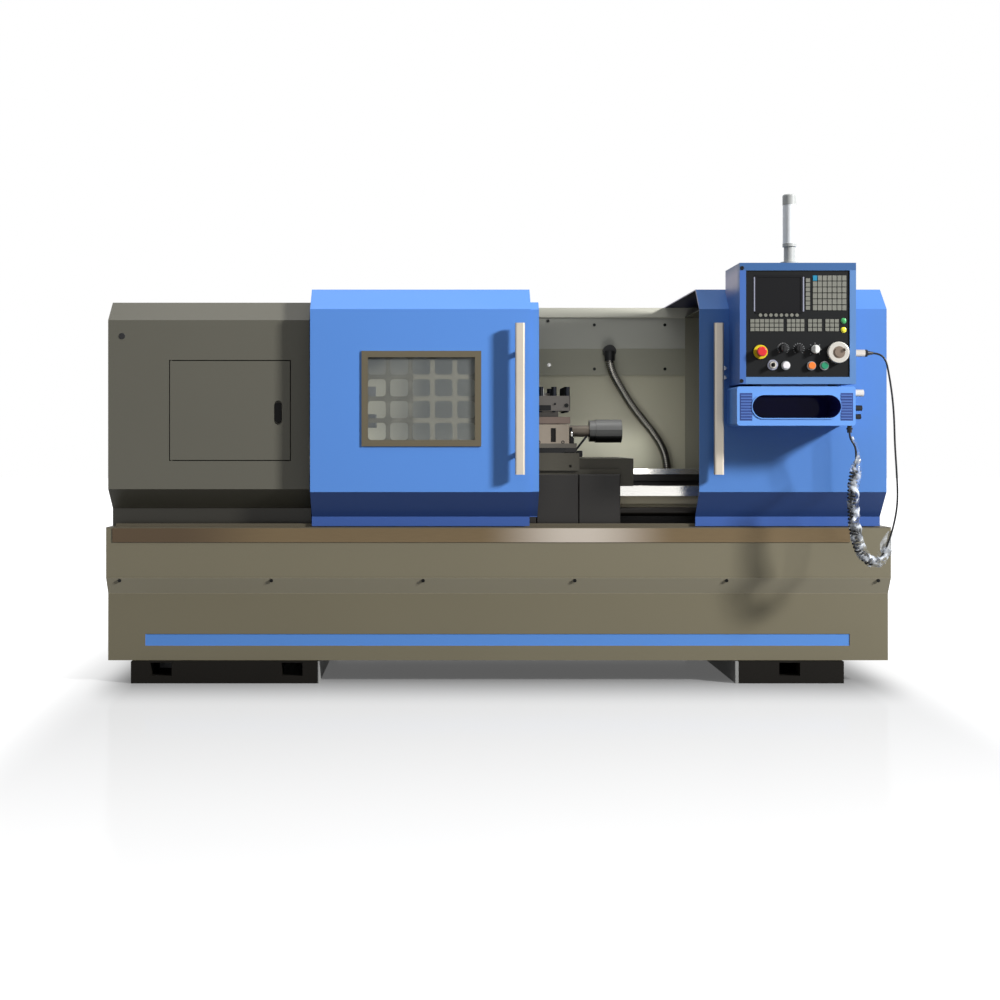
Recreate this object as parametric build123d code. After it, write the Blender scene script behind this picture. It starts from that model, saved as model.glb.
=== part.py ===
from build123d import *
import os
from math import hypot, pi, radians, tan

os.makedirs("parts", exist_ok=True)

# Flat-bed turning lathe. X runs to the right, Y to the back, Z up.
# The origin is on the floor, under the middle of the base.

# Base. Stations along the machine and across it are shares of its length and depth.
base_length = 3140
base_depth = 1180
along = base_length / 3140
across = base_depth / 1180
left_end = -base_length / 2
right_end = base_length / 2
front = -base_depth / 2
back = base_depth / 2
base_top = 629
tray_bottom = 433
tray_floor = 8
sheet = 4
skirt_bottom = 91
skirt_slope_top = 426
skirt_slope_bottom = 361
skirt_set_back = 38
skirt_screws = 6
screw_inset = 53
screw_end = 49
screw_drop = 10
band_left = -1420 * along
band_right = 1416 * along
band_bottom = 150
band_top = 197
band_depth = 2
trim_left = -1544 * along
trim_right = 1405 * along
trim_bottom = 569
trim_top = 625
trim_thick = 3
well_left = -754 * along
well_right = 876 * along
well_front = -512 * across
well_back = 165 * across

# Pedestals
left_leg = (-1476 * along, -720 * along)
right_leg = (953 * along, 1389 * along)
leg_pockets = ((-1398 * along, -1312 * along), (-871 * along, -786 * along), (1129 * along, 1213 * along))
foot_height = 88
leg_depth = 1040 * across
foot_reach = 45
foot_depth = leg_depth + 2 * foot_reach
leg_window = 60
leg_wall = 25
pocket_low = 30
pocket_high = 84
anchor_span_x = 2710 * along
anchor_span_y = 1060 * across
anchor_radius = 12

# Bed
bed_left = -1330 * along
bed_right = 1395 * along
pad_right = -770 * along
front_way = (-440 * across, -345 * across)
front_way_top = 789
front_way_face = 41
rear_way = (-85 * across, 10 * across)
rear_way_top = 853
rear_way_face = 24
bed_web = 35
bed_gap = 8

# Spindle line
axis_y = -215 * across
axis_z = 1100
spindle_radius = 65
spindle_bore = 41
spindle_left = -1550 * along
nose_left = -772 * along
nose_radius = 110
chuck_left = -680 * along
chuck_right = -560 * along
chuck_radius = 160
chuck_bore = 45
jaw_width = 40
jaw_count = 3
jaw_low = 60
jaw_high = 150
jaw_step = 105
jaw_slot = 35
jaw_right = -505 * along
head_right = -775 * along
pulley_left = -1545 * along
pulley_right = -1485 * along
pulley_radius = 120
motor_shaft_radius = 19
motor_pulley_radius = 75
motor_z = 180
motor_body_radius = 118
motor_length = 310
belt_thick = 8
belt_gap = 20
bar_hole_radius = 60

# Grey covers
cover_left = -1565 * along
cover_seam = -1451 * along
cover_right = -758 * along
cover_front = -575 * across
cover_foot = -490 * across
cover_back = 165 * across
hood_flat_top = 1497
cover_top = hood_flat_top + 40
cover_flat_top = hood_flat_top - 38
head_top = cover_top - 207
cover_flat_bottom = 781
cover_foot_top = 700
door_left = -1317 * along
door_right = -836 * along
door_bottom = 898
door_top = 1295
door_gap = 4
door_thick = 15
door_pin_radius = 3.5
latch_x = -883 * along
latch_z = 1088
latch_width = 30
latch_height = 97
tail_cover_left = 880 * along
tail_cover_right = 1530 * along
tail_cover_foot = -520 * across

# Rear wall and rails
wall_front = 175 * across
rail_front = 168 * across
rail_back = 245 * across
rail_bottom = hood_flat_top + 37
rail_top = rail_bottom + 43
wall_mid_high = rail_bottom - 143
wall_mid_low = wall_mid_high - 120
rail_bar = rail_front + 30
wall_screws = ((260 * along, rail_bottom - 16), (470 * along, rail_bottom - 34),
               (790 * along, rail_bottom - 34), (470 * along, wall_mid_low + 29),
               (790 * along, wall_mid_low + 29))
rail_left = -1500 * along
rail_right = 1535 * along
floor_rail = (-545 * across, -525 * across)
floor_rail_height = 12
rail_inset = 30

# Electrical cabinet
cabinet_left = -1500 * along
cabinet_right = -760 * along
cabinet_front = 182 * across
cabinet_back = 560 * across
module_count = 4
drive_heights = (1180, 1360)
relay_heights = (880, 1020)

# Hoods
hood_front = -645 * across
hood_foot = -560 * across
hood_back = 250 * across
hood_top = hood_flat_top + 86
hood_flat_bottom = 772
hood_foot_top = 670
hood_lift = 3
left_hood_left = -749 * along
left_hood_right = 126 * along
right_hood_left = 793 * along
right_hood_right = 1535 * along
lip_reach = 32
window_left = -545 * along
window_right = -71 * along
window_bottom = 953
window_top = 1331
window_border = 25
grille_columns = 5
grille_rows = 4
grille_bar = 18
handle_width = 38
handle_depth = 26
handle_off = 30
handle_bottom = 842
handle_top = 1438
left_handle_x = 80 * along
right_handle_x = 862 * along

# Saddle, cross slide and turret
saddle_left = -202 * along
saddle_right = 558 * along
saddle_top = 902
saddle_front = -460 * across
saddle_back = 40 * across
bridge_left = 22 * along
bridge_right = 334 * along
bridge_top = 925
bridge_front = -490 * across
bridge_back = 60 * across
dovetail_height = 20
dovetail_half = 90
dovetail_flare = 12
apron_left = -13 * along
apron_pitch = 171 * along
apron_count = 3
apron_bottom = 631
apron_top = 838
apron_front = -505 * across
lip_back = -478 * across
fit_gap = 0.3
screw_y = -455 * across
screw_z = 685
screw_radius = 18
journal_radius = 12
bearing_left = pad_right + 25
bearing_width = 40
bearing_half = 30
motor_half = 45
running = 0.05
turret_x = 178 * along
turret_y = -360 * across
turret_size = 240
turret_pivot_radius = 50
turret_base_size = 232
turret_base_top = 1042
turret_motor_z = 1015
turret_bottom = 1045
slot_bottom = 1072
slot_top = 1097
turret_top = 1158
turret_core = 150
bolt_top = 1195
bolt_pitch = 54
bolt_radius = 11
slide_top = 964
slide_front = -478 * across
slide_length = 360
cross_screw_z = 906
cross_screw_radius = 10

# Tailstock
tail_left = 1010 * along
tail_right = 1385 * along
barrel_radius = 85
quill_radius = 45
quill_left = 960 * along
centre_left = 900 * along
tail_wheel_radius = 110

# Control box
box_left = 911 * along
box_right = 1356 * along
box_bottom = hood_flat_top - 305
box_top = box_bottom + 464
box_front = -840 * across
box_back = -575 * across
panel_left = 935 * along
panel_right = 1332 * along
panel_bottom = box_bottom + 27
panel_top = panel_bottom + 408
panel_front = box_front + 4
panel_thick = 8
screen_area = (980 * along, 1144 * along, panel_bottom + 253, panel_bottom + 382)
soft_keys = (1163 * along, 1182 * along, panel_bottom + 256, panel_bottom + 379, 1, 7)
keypad = (1190 * along, 1321 * along, panel_bottom + 254, panel_bottom + 390, 7, 6)
key_row = (panel_bottom + 174, panel_bottom + 223)
key_blocks = ((951 * along, 1080 * along, 7), (1091 * along, 1160 * along, 4),
              (1172 * along, 1227 * along, 3), (1238 * along, 1292 * along, 3))
round_key_left = 991 * along
round_key_pitch = 20 * along
round_key_z = panel_bottom + 237
round_key_count = 8
lower_left = 902 * along
lower_top = box_bottom - 9
lower_bottom = lower_top - 150
lower_front = box_front + 5
pocket_left = 961 * along
pocket_right = 1299 * along
pocket_bottom = lower_bottom + 29
pocket_top = pocket_bottom + 88
pocket_depth = 150
lamp_x = 1113 * along
lamp_y = -790 * across
lamp_base_top = box_top + 79
lamp_lens_top = lamp_base_top + 150
lamp_top = lamp_lens_top + 40
lamp_radius = 26

# Controls, each as (X, Z)
stop_at = (991 * along, panel_bottom + 96)
feed_at = (1078 * along, panel_bottom + 109)
speed_at = (1138 * along, panel_bottom + 108)
mode_at = (1200 * along, panel_bottom + 106)
key_at = (1038 * along, panel_bottom + 46)
white_at = (1087 * along, panel_bottom + 44)
orange_at = (1185 * along, panel_bottom + 43)
green_at = (1234 * along, panel_bottom + 43)
wheel_at = (1283.5 * along, panel_bottom + 93)

# Cord and hose
cord_diameter = 7.5
coil_diameter = 38
hose_diameter = 39


def block(x0, x1, y0, y1, z0, z1):
    """Box between two opposite corners."""
    return Pos((x0 + x1) / 2, (y0 + y1) / 2, (z0 + z1) / 2) * Box(x1 - x0, y1 - y0, z1 - z0)


def rod_x(x0, x1, y, z, r):
    return Pos((x0 + x1) / 2, y, z) * Rot(0, 90, 0) * Cylinder(r, x1 - x0)


def rod_y(y0, y1, x, z, r):
    return Pos(x, (y0 + y1) / 2, z) * Rot(90, 0, 0) * Cylinder(r, y1 - y0)


def rod_z(z0, z1, x, y, r):
    return Pos(x, y, (z0 + z1) / 2) * Cylinder(r, z1 - z0)


def prism_x(points, x0, x1):
    """Prism along X over an outline of (y, z) points."""
    outline = Plane.YZ.offset(x0) * make_face(Polyline(*points, close=True))
    return extrude(outline, amount=x1 - x0, dir=(1, 0, 0))


def prism_y(outline, y0, y1):
    """Prism along Y over a flat outline drawn as (x, z)."""
    return extrude(Plane.XZ.offset(-y0) * outline, amount=y1 - y0, dir=(0, 1, 0))


def slot_y(x0, x1, z0, z1, y0, y1):
    """Obround through Y, its long side along X or Z."""
    wide, tall = x1 - x0, z1 - z0
    turn = 0 if wide > tall else 90
    middle = Pos((x0 + x1) / 2, (z0 + z1) / 2)
    outline = middle * Rot(0, 0, turn) * SlotOverall(max(wide, tall), min(wide, tall))
    return prism_y(outline, y0, y1)


def inset(points, gap):
    """Open outline moved to the left of its direction by gap, with mitred corners."""
    lines = []
    for (y0, z0), (y1, z1) in zip(points, points[1:]):
        length = hypot(y1 - y0, z1 - z0)
        dy, dz = (y1 - y0) / length, (z1 - z0) / length
        lines.append((y0 - dz * gap, z0 + dy * gap, dy, dz))
    moved = [(lines[0][0], lines[0][1])]
    for (ay, az, ady, adz), (by, bz, bdy, bdz) in zip(lines, lines[1:]):
        cross = ady * bdz - adz * bdy
        step = ((by - ay) * bdz - (bz - az) * bdy) / cross
        moved.append((ay + ady * step, az + adz * step))
    ly, lz, ldy, ldz = lines[-1]
    end_y, end_z = points[-1]
    moved.append((end_y - ldz * gap, end_z + ldy * gap))
    return moved


def bent_sheet(points, thick, x0, x1):
    """Folded sheet along X, with its thickness to the left of the outline."""
    return prism_x(list(points) + inset(points, thick)[::-1], x0, x1)


def save(name, *solids):
    """Writes one sub-part, as one solid or as separate ones."""
    shape = solids[0] if len(solids) == 1 else Compound(children=list(solids))
    shape.label = name
    export_step(shape, "parts/" + name + ".step")


# Chip tray welded from flat plates: floor, four walls, deck strips and the front rail
def chip_tray():
    deck_low, floor_high = base_top - tray_floor, tray_bottom + tray_floor
    slot_left, slot_right = pulley_left - bed_gap, pulley_right + bed_gap
    slot_reach = pulley_radius + belt_thick + belt_gap
    slot_front, slot_back = axis_y - slot_reach, axis_y + slot_reach
    bed_front, bed_back = front_way[0] - bed_gap, rear_way[1] + bed_gap
    notch_left, notch_right = bed_left - bed_gap, bed_right + bed_gap
    plates = []
    levels = ((tray_bottom, floor_high, front, back), (deck_low, base_top, well_front, well_back))
    for low, high, y0, y1 in levels:
        plates.append(block(left_end, slot_left, y0, y1, low, high))
        plates.append(block(slot_left, slot_right, y0, slot_front, low, high))
        plates.append(block(slot_left, slot_right, slot_back, y1, low, high))
    plates.append(block(slot_right, right_end, front, back, tray_bottom, floor_high))
    plates.append(block(left_end, right_end, front, front + sheet, floor_high, deck_low))
    plates.append(block(left_end, right_end, back - sheet, back, floor_high, deck_low))
    plates.append(block(left_end, left_end + sheet, front + sheet, back - sheet, floor_high, deck_low))
    plates.append(block(right_end - sheet, right_end, front + sheet, back - sheet, floor_high, deck_low))
    plates.append(block(left_end, right_end, front, well_front, deck_low, base_top))
    plates.append(block(left_end, right_end, well_back, back, deck_low, base_top))
    plates.append(block(slot_right, notch_left, well_front, well_back, deck_low, base_top))
    plates.append(block(notch_right, right_end, well_front, well_back, deck_low, base_top))
    for x0, x1 in ((notch_left, well_left), (well_right, notch_right)):
        plates.append(block(x0, x1, well_front, bed_front, deck_low, base_top))
        plates.append(block(x0, x1, bed_back, well_back, deck_low, base_top))
    plates.append(block(left_end + rail_inset, right_end - rail_inset, floor_rail[0], floor_rail[1],
                        base_top, base_top + floor_rail_height))
    save("chip_tray", *plates)
    save("tray_trim", block(trim_left, trim_right, front - trim_thick, front, trim_bottom, trim_top))


# Skirt sheets round the base
def skirts():
    low_front = front + skirt_set_back
    path = [(front + 40, tray_bottom), (front, tray_bottom), (front, skirt_slope_top),
            (low_front, skirt_slope_bottom), (low_front, skirt_bottom), (low_front + 25, skirt_bottom)]
    front_sheet = bent_sheet(path, sheet, left_end, right_end)
    whole = path[1:5] + [(back, skirt_bottom), (back, tray_bottom)]
    left_sheet = prism_x(whole, left_end, left_end + sheet) - front_sheet
    right_sheet = prism_x(whole, right_end - sheet, right_end) - front_sheet
    rear_sheet = block(left_end + sheet, right_end - sheet, back - sheet, back, skirt_bottom, tray_bottom)
    front_sheet -= block(band_left, band_right, low_front - 1, low_front + band_depth, band_bottom, band_top)
    rise = skirt_slope_top - skirt_slope_bottom
    tilt = hypot(rise, skirt_set_back)
    out_y, out_z = -rise / tilt, -skirt_set_back / tilt
    screws = []
    share = screw_drop / rise
    y, z = front + skirt_set_back * share, skirt_slope_top - screw_drop
    for number in range(skirt_screws):
        x = left_end + screw_inset + number * (base_length - screw_inset - screw_end) / (skirt_screws - 1)
        seat = Plane(origin=(x, y, z), z_dir=(0, out_y, out_z))
        head = extrude(seat * Circle(7), amount=4) - extrude(seat.offset(2) * RegularPolygon(3, 6), amount=3)
        shank = extrude(seat * Circle(3), amount=-8)
        front_sheet -= extrude(seat * Circle(3.3), amount=-12)
        screws.append(head + shank)
    for x, z in wall_screws:
        y = wall_front - (sheet if wall_mid_low < z < wall_mid_high else 0)
        screws.append(rod_y(y - 3, y, x, z, 7))
    save("skirts", front_sheet, left_sheet, right_sheet, rear_sheet)
    save("panel_screws", *screws)


# Cast pedestals with pockets and anchor holes
def pedestals():
    legs = []
    half_foot, half_leg = foot_depth / 2, leg_depth / 2
    for x0, x1 in (left_leg, right_leg):
        leg = block(x0, x1, -half_foot, half_foot, 0, foot_height)
        leg += block(x0, x1, -half_leg, half_leg, foot_height, tray_bottom)
        leg -= block(x0 + leg_wall, x1 - leg_wall, leg_wall - half_leg, half_leg - leg_wall,
                     leg_wall, tray_bottom - leg_wall)
        leg -= block(x0 + leg_window, x1 - leg_window, half_leg - leg_wall - 1, half_leg + foot_reach + 1,
                     leg_window, tray_bottom - leg_window)
        for low, high in leg_pockets:
            if x0 < low < x1:
                leg -= block(low, high, -half_foot - 1, leg_wall - half_leg + 1, pocket_low, pocket_high)
        for side in (-1, 1):
            x = anchor_span_x / 2 * (1 if x0 > 0 else -1)
            leg -= rod_z(-1, foot_height + 1, x, side * anchor_span_y / 2, anchor_radius)
        legs.append(leg)
    legs[0] -= rod_x(left_leg[0] - 1, left_leg[0] + leg_wall + 1, axis_y, motor_z, 40)
    save("pedestals", *legs)


# Main motor in the left pedestal, Z motor and the Z screw's bearings
def drive_motors():
    motor_left = left_leg[0] + leg_wall + 5
    motor_right = motor_left + motor_length
    motor = rod_x(motor_left, motor_right, axis_y, motor_z, motor_body_radius)
    motor += block(motor_left + 40, motor_right - 40, axis_y - 110, axis_y + 110, leg_wall, motor_z - 60)
    motor += block(motor_left + 90, motor_left + 210, axis_y - 60, axis_y + 60, motor_z, motor_z + 150)
    motor -= rod_x(motor_left - 1, motor_left + 61, axis_y, motor_z, motor_shaft_radius + running)
    web = front_way[0] + 30
    low, high = screw_z - bearing_half, screw_z + bearing_half
    left_bearing = block(bearing_left, bearing_left + bearing_width, screw_y - bearing_half, web, low, high)
    left_bearing -= rod_x(bearing_left - 1, bearing_left + bearing_width + 1, screw_y, screw_z,
                          journal_radius + running)
    right_bearing = block(bed_right - 55, bed_right, screw_y - motor_half, web, low, high)
    right_bearing -= rod_x(bed_right - 56, bed_right + 1, screw_y, screw_z, journal_radius + running)
    z_motor = block(bed_right, tail_cover_right - 15, screw_y - motor_half, screw_y + motor_half,
                    screw_z - motor_half, screw_z + motor_half)
    z_motor -= rod_x(bed_right - 1, bed_right + 10, screw_y, screw_z, journal_radius + 1)
    save("drive_motors", motor, left_bearing, right_bearing, z_motor)
    screw = rod_x(bearing_left + bearing_width + 5, bed_right - 60, screw_y, screw_z, screw_radius)
    screw += rod_x(bearing_left + 1, bed_right + 5, screw_y, screw_z, journal_radius)
    save("z_screw", screw)
    shaft = rod_x(pulley_right - 1, motor_left + 60, axis_y, motor_z, motor_shaft_radius)
    pulley = rod_x(pulley_left, pulley_right, axis_y, motor_z, motor_pulley_radius)
    save("motor_pulley", pulley + shaft)


# Bed casting with two ways
def bed():
    f0, f1 = front_way
    r0, r1 = rear_way
    seat = tray_bottom + tray_floor
    face = front_way_top - front_way_face
    solid = block(pad_right, bed_right, f0, f1, face, front_way_top)
    solid += block(pad_right, bed_right, f0 + 15, f1 - 8, face - 32, face)
    solid += block(pad_right, bed_right, f0 + 30, f0 + 30 + bed_web, seat, face - 32)
    solid += block(pad_right, bed_right, r0, r1, rear_way_top - rear_way_face, rear_way_top)
    solid += block(pad_right, bed_right, r0 + 10, r1 - 10, rear_way_top - 53, rear_way_top - rear_way_face)
    solid += block(pad_right, bed_right, r0 + 25, r0 + 25 + bed_web, seat, rear_way_top - 53)
    solid += block(pad_right, bed_right, f0 + 30, r0 + 25 + bed_web, seat, seat + 20)
    for number in range(5):
        x = pad_right + 80 + number * 440
        solid += block(x, x + 25, f0 + 40, r0 + 30, seat, face - 40)
    solid += block(bed_left, pad_right, f0, r1, seat, front_way_top)
    solid -= block(bed_left + bed_web, pad_right - bed_web, f0 + bed_web, r1 - bed_web,
                   seat - 1, front_way_top - bed_web)
    save("bed", solid)


# Headstock, spindle, pulley, belt and chuck
def headstock():
    f0, r1 = front_way[0], rear_way[1]
    solid = block(bed_left, head_right, f0, r1, front_way_top, head_top)
    solid = fillet(solid.edges().filter_by(Axis.X).sort_by(Axis.Z)[-2:], 20)
    solid -= block(bed_left + 30, head_right - 30, f0 + 30, r1 - 30, front_way_top + 30, head_top - 30)
    solid += rod_x(bed_left, bed_left + 90, axis_y, axis_z, 105)
    solid += rod_x(head_right - 90, head_right, axis_y, axis_z, 120)
    solid -= rod_x(bed_left - 1, head_right + 1, axis_y, axis_z, spindle_radius + running)
    save("headstock", solid)
    spindle = rod_x(spindle_left, chuck_left, axis_y, axis_z, spindle_radius)
    spindle += rod_x(nose_left, chuck_left, axis_y, axis_z, nose_radius)
    spindle += rod_x(pulley_left, pulley_right, axis_y, axis_z, pulley_radius)
    spindle -= rod_x(spindle_left - 1, chuck_left + 1, axis_y, axis_z, spindle_bore)
    save("spindle", spindle)
    circles = ((axis_z, pulley_radius), (motor_z, motor_pulley_radius))
    outer = make_hull([e for z, r in circles
                       for e in (Pos(axis_y, z) * Circle(r + fit_gap + belt_thick)).edges()])
    inner = make_hull([e for z, r in circles for e in (Pos(axis_y, z) * Circle(r + fit_gap)).edges()])
    ring = Plane.YZ.offset(pulley_left + 6) * (outer - inner)
    belt = extrude(ring, amount=pulley_right - pulley_left - 12, dir=(1, 0, 0))
    low, high = motor_z + motor_pulley_radius + belt_gap, axis_z - pulley_radius - belt_gap
    reach = 2 * pulley_radius
    pieces = []
    for z0, z1 in ((motor_z - reach, low), (low, high), (high, axis_z + reach)):
        pieces += (belt & block(pulley_left, pulley_right, axis_y - reach, axis_y + reach, z0, z1)).solids()
    save("drive_belt", *pieces)


def chuck():
    body = rod_x(chuck_left, chuck_right, axis_y, axis_z, chuck_radius)
    body = fillet(body.edges().filter_by(GeomType.CIRCLE), 6)
    body -= rod_x(chuck_left - 1, chuck_right + 1, axis_y, axis_z, chuck_bore)
    for number in range(jaw_count):
        turn = Pos(0, axis_y, axis_z) * Rot(360 / jaw_count * number, 0, 0)
        half = jaw_width / 2
        body -= turn * block(chuck_right - jaw_slot, chuck_right + 1, -half, half,
                             chuck_bore - 5, chuck_radius + 9)
        thin = half - fit_gap
        jaw = block(chuck_right - jaw_slot + fit_gap, chuck_right + 15, -thin, thin, jaw_low, jaw_high)
        jaw += block(chuck_right + 14, jaw_right, -thin, thin, jaw_low, jaw_step)
        save("jaw_" + "abc"[number], turn * jaw)
    save("chuck_body", body)


def cover_path(foot):
    bevel = cover_flat_top
    return [(cover_back, base_top), (cover_back, cover_top), (cover_foot, cover_top), (cover_front, bevel),
            (cover_front, cover_flat_bottom), (foot, cover_foot_top), (foot, base_top)]


def bed_notch(x0, x1):
    """Room for the bed through an end wall."""
    return block(x0 - 1, x1 + 1, front_way[0] - bed_gap, rear_way[1] + bed_gap,
                 base_top - 1, rear_way_top + bed_gap)


# Grey headstock and belt covers, with the access door
def headstock_cover():
    path = cover_path(cover_foot)
    belt_cover = bent_sheet(path, sheet, cover_left + sheet, cover_seam)
    left_plate = prism_x(path, cover_left, cover_left + sheet)
    left_plate -= rod_x(cover_left - 1, cover_left + sheet + 1, axis_y, axis_z, bar_hole_radius)
    main = bent_sheet(path, sheet, cover_seam, cover_right - sheet)
    end = prism_x(path, cover_right - sheet, cover_right) - bed_notch(cover_right - sheet, cover_right)
    end -= rod_x(cover_right - sheet - 1, cover_right + 1, axis_y, axis_z, nose_radius + 10)
    inner_front = cover_front + sheet
    main += block(door_left - 22, door_right + 22, inner_front, inner_front + 13,
                  door_bottom - 22, door_top + 22)
    main -= block(door_left - door_gap, door_right + door_gap, cover_front - 1, inner_front + 14,
                  door_bottom - door_gap, door_top + door_gap)
    pin_x, pin_y = door_left + 5, cover_front + 6
    for z0, z1 in ((door_top - 15, door_top + door_gap + 6), (door_bottom - door_gap - 6, door_bottom + 15)):
        main += rod_z(z0, z1, pin_x, pin_y, door_pin_radius)
    save("headstock_cover", main, end, belt_cover, left_plate)

    door = block(door_left, door_right, cover_front, cover_front + door_thick, door_bottom, door_top)
    door -= block(door_left + 18, door_right - 18, cover_front + sheet, cover_front + door_thick + 1,
                  door_bottom + 18, door_top - 18)
    half_w, half_h = latch_width / 2, latch_height / 2
    door += block(latch_x - half_w - 8, latch_x + half_w + 8, cover_front + 1, cover_front + 22,
                  latch_z - half_h - 8, latch_z + half_h + 8)
    door -= slot_y(latch_x - half_w, latch_x + half_w, latch_z - half_h, latch_z + half_h,
                   cover_front - 1, cover_front + 14)
    pivot_z = latch_z + half_h - 15
    door -= rod_x(latch_x - half_w - 5, latch_x + half_w + 5, cover_front + 5, pivot_z, 2.5 + running)
    for z0, z1 in ((door_top - 15.5, door_top + 1), (door_bottom - 1, door_bottom + 15.5)):
        door -= rod_z(z0, z1, pin_x, pin_y, door_pin_radius + running)
    save("access_door", door)
    lever = slot_y(latch_x - half_w + 2, latch_x + half_w - 2, latch_z - half_h + 8, pivot_z + 7,
                   cover_front - 2, cover_front + 8)
    lever += rod_x(latch_x - half_w - 4.5, latch_x + half_w + 4.5, cover_front + 5, pivot_z, 2.5)
    save("access_latch", lever)


# Fixed cover over the tailstock end
def tail_cover():
    path = cover_path(tail_cover_foot)
    cover = bent_sheet(path, sheet, tail_cover_left, tail_cover_right - sheet)
    save("tail_cover", cover, prism_x(path, tail_cover_right - sheet, tail_cover_right))


# Rear wall with the top rail
def rear_wall():
    wall = block(well_left, tail_cover_right, wall_front, wall_front + sheet, base_top, rail_bottom)
    wall += block(well_left, tail_cover_right, wall_front - sheet, wall_front + 1,
                  wall_mid_low, wall_mid_high)
    bar = rail_bar
    shelf = rail_bottom + 12
    rail = prism_x([(rail_front, rail_bottom), (rail_back, rail_bottom), (rail_back, shelf), (bar, shelf),
                    (bar, rail_top), (rail_front, rail_top)], rail_left, rail_right)
    save("rear_wall", wall, rail)


# Electrical cabinet behind the headstock, with its door
def electrical_cabinet():
    x0, x1, y0, y1 = cabinet_left, cabinet_right, cabinet_front, cabinet_back
    box = block(x0, x1, y0, y1, base_top, rail_bottom)
    box -= block(x0 + sheet, x1 - sheet, y0 + sheet, y1 + 1, base_top + sheet, rail_bottom - sheet)
    box += block(x0 + 60, x1 - 60, y0 + sheet - 1, y0 + 20, base_top + 80, rail_bottom - 80)
    pitch = (x1 - x0 - 160) / module_count
    for number in range(module_count):
        x = x0 + 90 + number * pitch
        box += block(x, x + pitch - 35, y0 + 19, y0 + 75, *drive_heights)
        box += block(x, x + pitch - 25, y0 + 19, y0 + 60, *relay_heights)
    door_y, pin_x, pin_y = y1 + 4, x0 + 8, y1 + 11
    for z0, z1 in ((rail_bottom - 4.5, rail_bottom), (base_top, base_top + 4.5)):
        box += block(x0, x0 + 30, y1 - 4, y1 + 20, z0, z1)
    for z0, z1 in ((rail_bottom - 16, rail_bottom - 3), (base_top + 3, base_top + 16)):
        box += rod_z(z0, z1, pin_x, pin_y, door_pin_radius)
    save("electrical_cabinet", box)
    low, high = base_top + 5, rail_bottom - 5
    door = block(x0 + 2, x1 - 2, door_y, door_y + 16, low, high)
    door -= block(x0 + 22, x1 - 22, door_y - 1, door_y + 12, low + 20, high - 20)
    door += block(x1 - 60, x1 - 35, door_y + 15, door_y + 24, 1020, 1140)
    for z0, z1 in ((high - 12, high + 1), (low - 1, low + 12)):
        door -= rod_z(z0, z1, pin_x, pin_y, door_pin_radius + running)
    save("cabinet_door", door)


hood_path = [(hood_back, hood_top - 31), (hood_back, hood_top), (hood_foot, hood_top),
             (hood_front, hood_flat_top), (hood_front, hood_flat_bottom), (hood_foot, hood_foot_top),
             (hood_foot, base_top + hood_lift)]


def hood_shell(x0, x1):
    """Folded hood with its glides on the two rails."""
    shell = bent_sheet(hood_path, sheet, x0, x1)
    rail = base_top + floor_rail_height + fit_gap
    for x in (x0 + 40, x1 - 120):
        shell += block(x, x + 80, hood_foot + sheet - 1, floor_rail[1] + 1, rail, rail + 22)
        shell += block(x, x + 80, rail_bar + 10, rail_back - 9,
                       rail_bottom + 12 + fit_gap, hood_top - sheet + 1)
    return shell


def handle(x):
    """Flat bar on two posts."""
    post = hood_front - handle_off
    half = handle_width / 2
    bar = block(x - half, x + half, post - handle_depth, post, handle_bottom, handle_top)
    bar = fillet(bar.edges().filter_by(Axis.Z), 8)
    for z in (handle_bottom + 85, handle_top - 113):
        bar += rod_y(post - 2, hood_front, x, z, 10)
    return bar


# Left hood with its window and handle
def left_hood():
    shell = hood_shell(left_hood_left, left_hood_right)
    lip = bent_sheet(inset(hood_path, sheet), sheet, left_hood_right - 26, left_hood_right + lip_reach)
    keep = block(left_hood_right - 30, left_hood_right + 40, hood_front, hood_foot + 60,
                 base_top + 40, hood_top - 56)
    shell += lip & keep
    edge = window_border - 6
    shell -= block(window_left + edge, window_right - edge, hood_front - 1, hood_front + sheet + 1,
                   window_bottom + edge, window_top - edge)
    save("left_hood", shell)
    x0, x1 = window_left + window_border, window_right - window_border
    z0, z1 = window_bottom + window_border, window_top - window_border
    rim = block(window_left, window_right, hood_front - 5, hood_front, window_bottom, window_top)
    rim -= block(x0, x1, hood_front - 6, hood_front + 1, z0, z1)
    back_y = hood_front + sheet
    plate = block(window_left, window_right, back_y + 5, back_y + 8, window_bottom, window_top)
    plate += block(window_left, window_right, back_y, back_y + 6, window_bottom, window_top)
    plate -= block(x0 - 4, x1 + 4, back_y - 1, back_y + 5, z0 - 4, z1 + 4)
    cell_x = (x1 - x0 - grille_bar * (grille_columns - 1)) / grille_columns
    cell_z = (z1 - z0 - grille_bar * (grille_rows - 1)) / grille_rows
    for column in range(grille_columns):
        for row in range(grille_rows):
            x = x0 + cell_x / 2 + column * (cell_x + grille_bar)
            z = z0 + cell_z / 2 + row * (cell_z + grille_bar)
            cell = Pos(x, z) * RectangleRounded(cell_x, cell_z, 14)
            plate -= prism_y(cell, back_y + 4, back_y + 9)
    save("window_frame", rim, plate)
    save("window_pane", block(x0 - 3.5, x1 + 3.5, back_y, back_y + 5, z0 - 3.5, z1 + 3.5))
    save("left_handle", handle(left_handle_x))


# Right hood with its handle
def right_hood():
    save("right_hood", hood_shell(right_hood_left, right_hood_right))
    save("right_handle", handle(right_handle_x))


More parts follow.
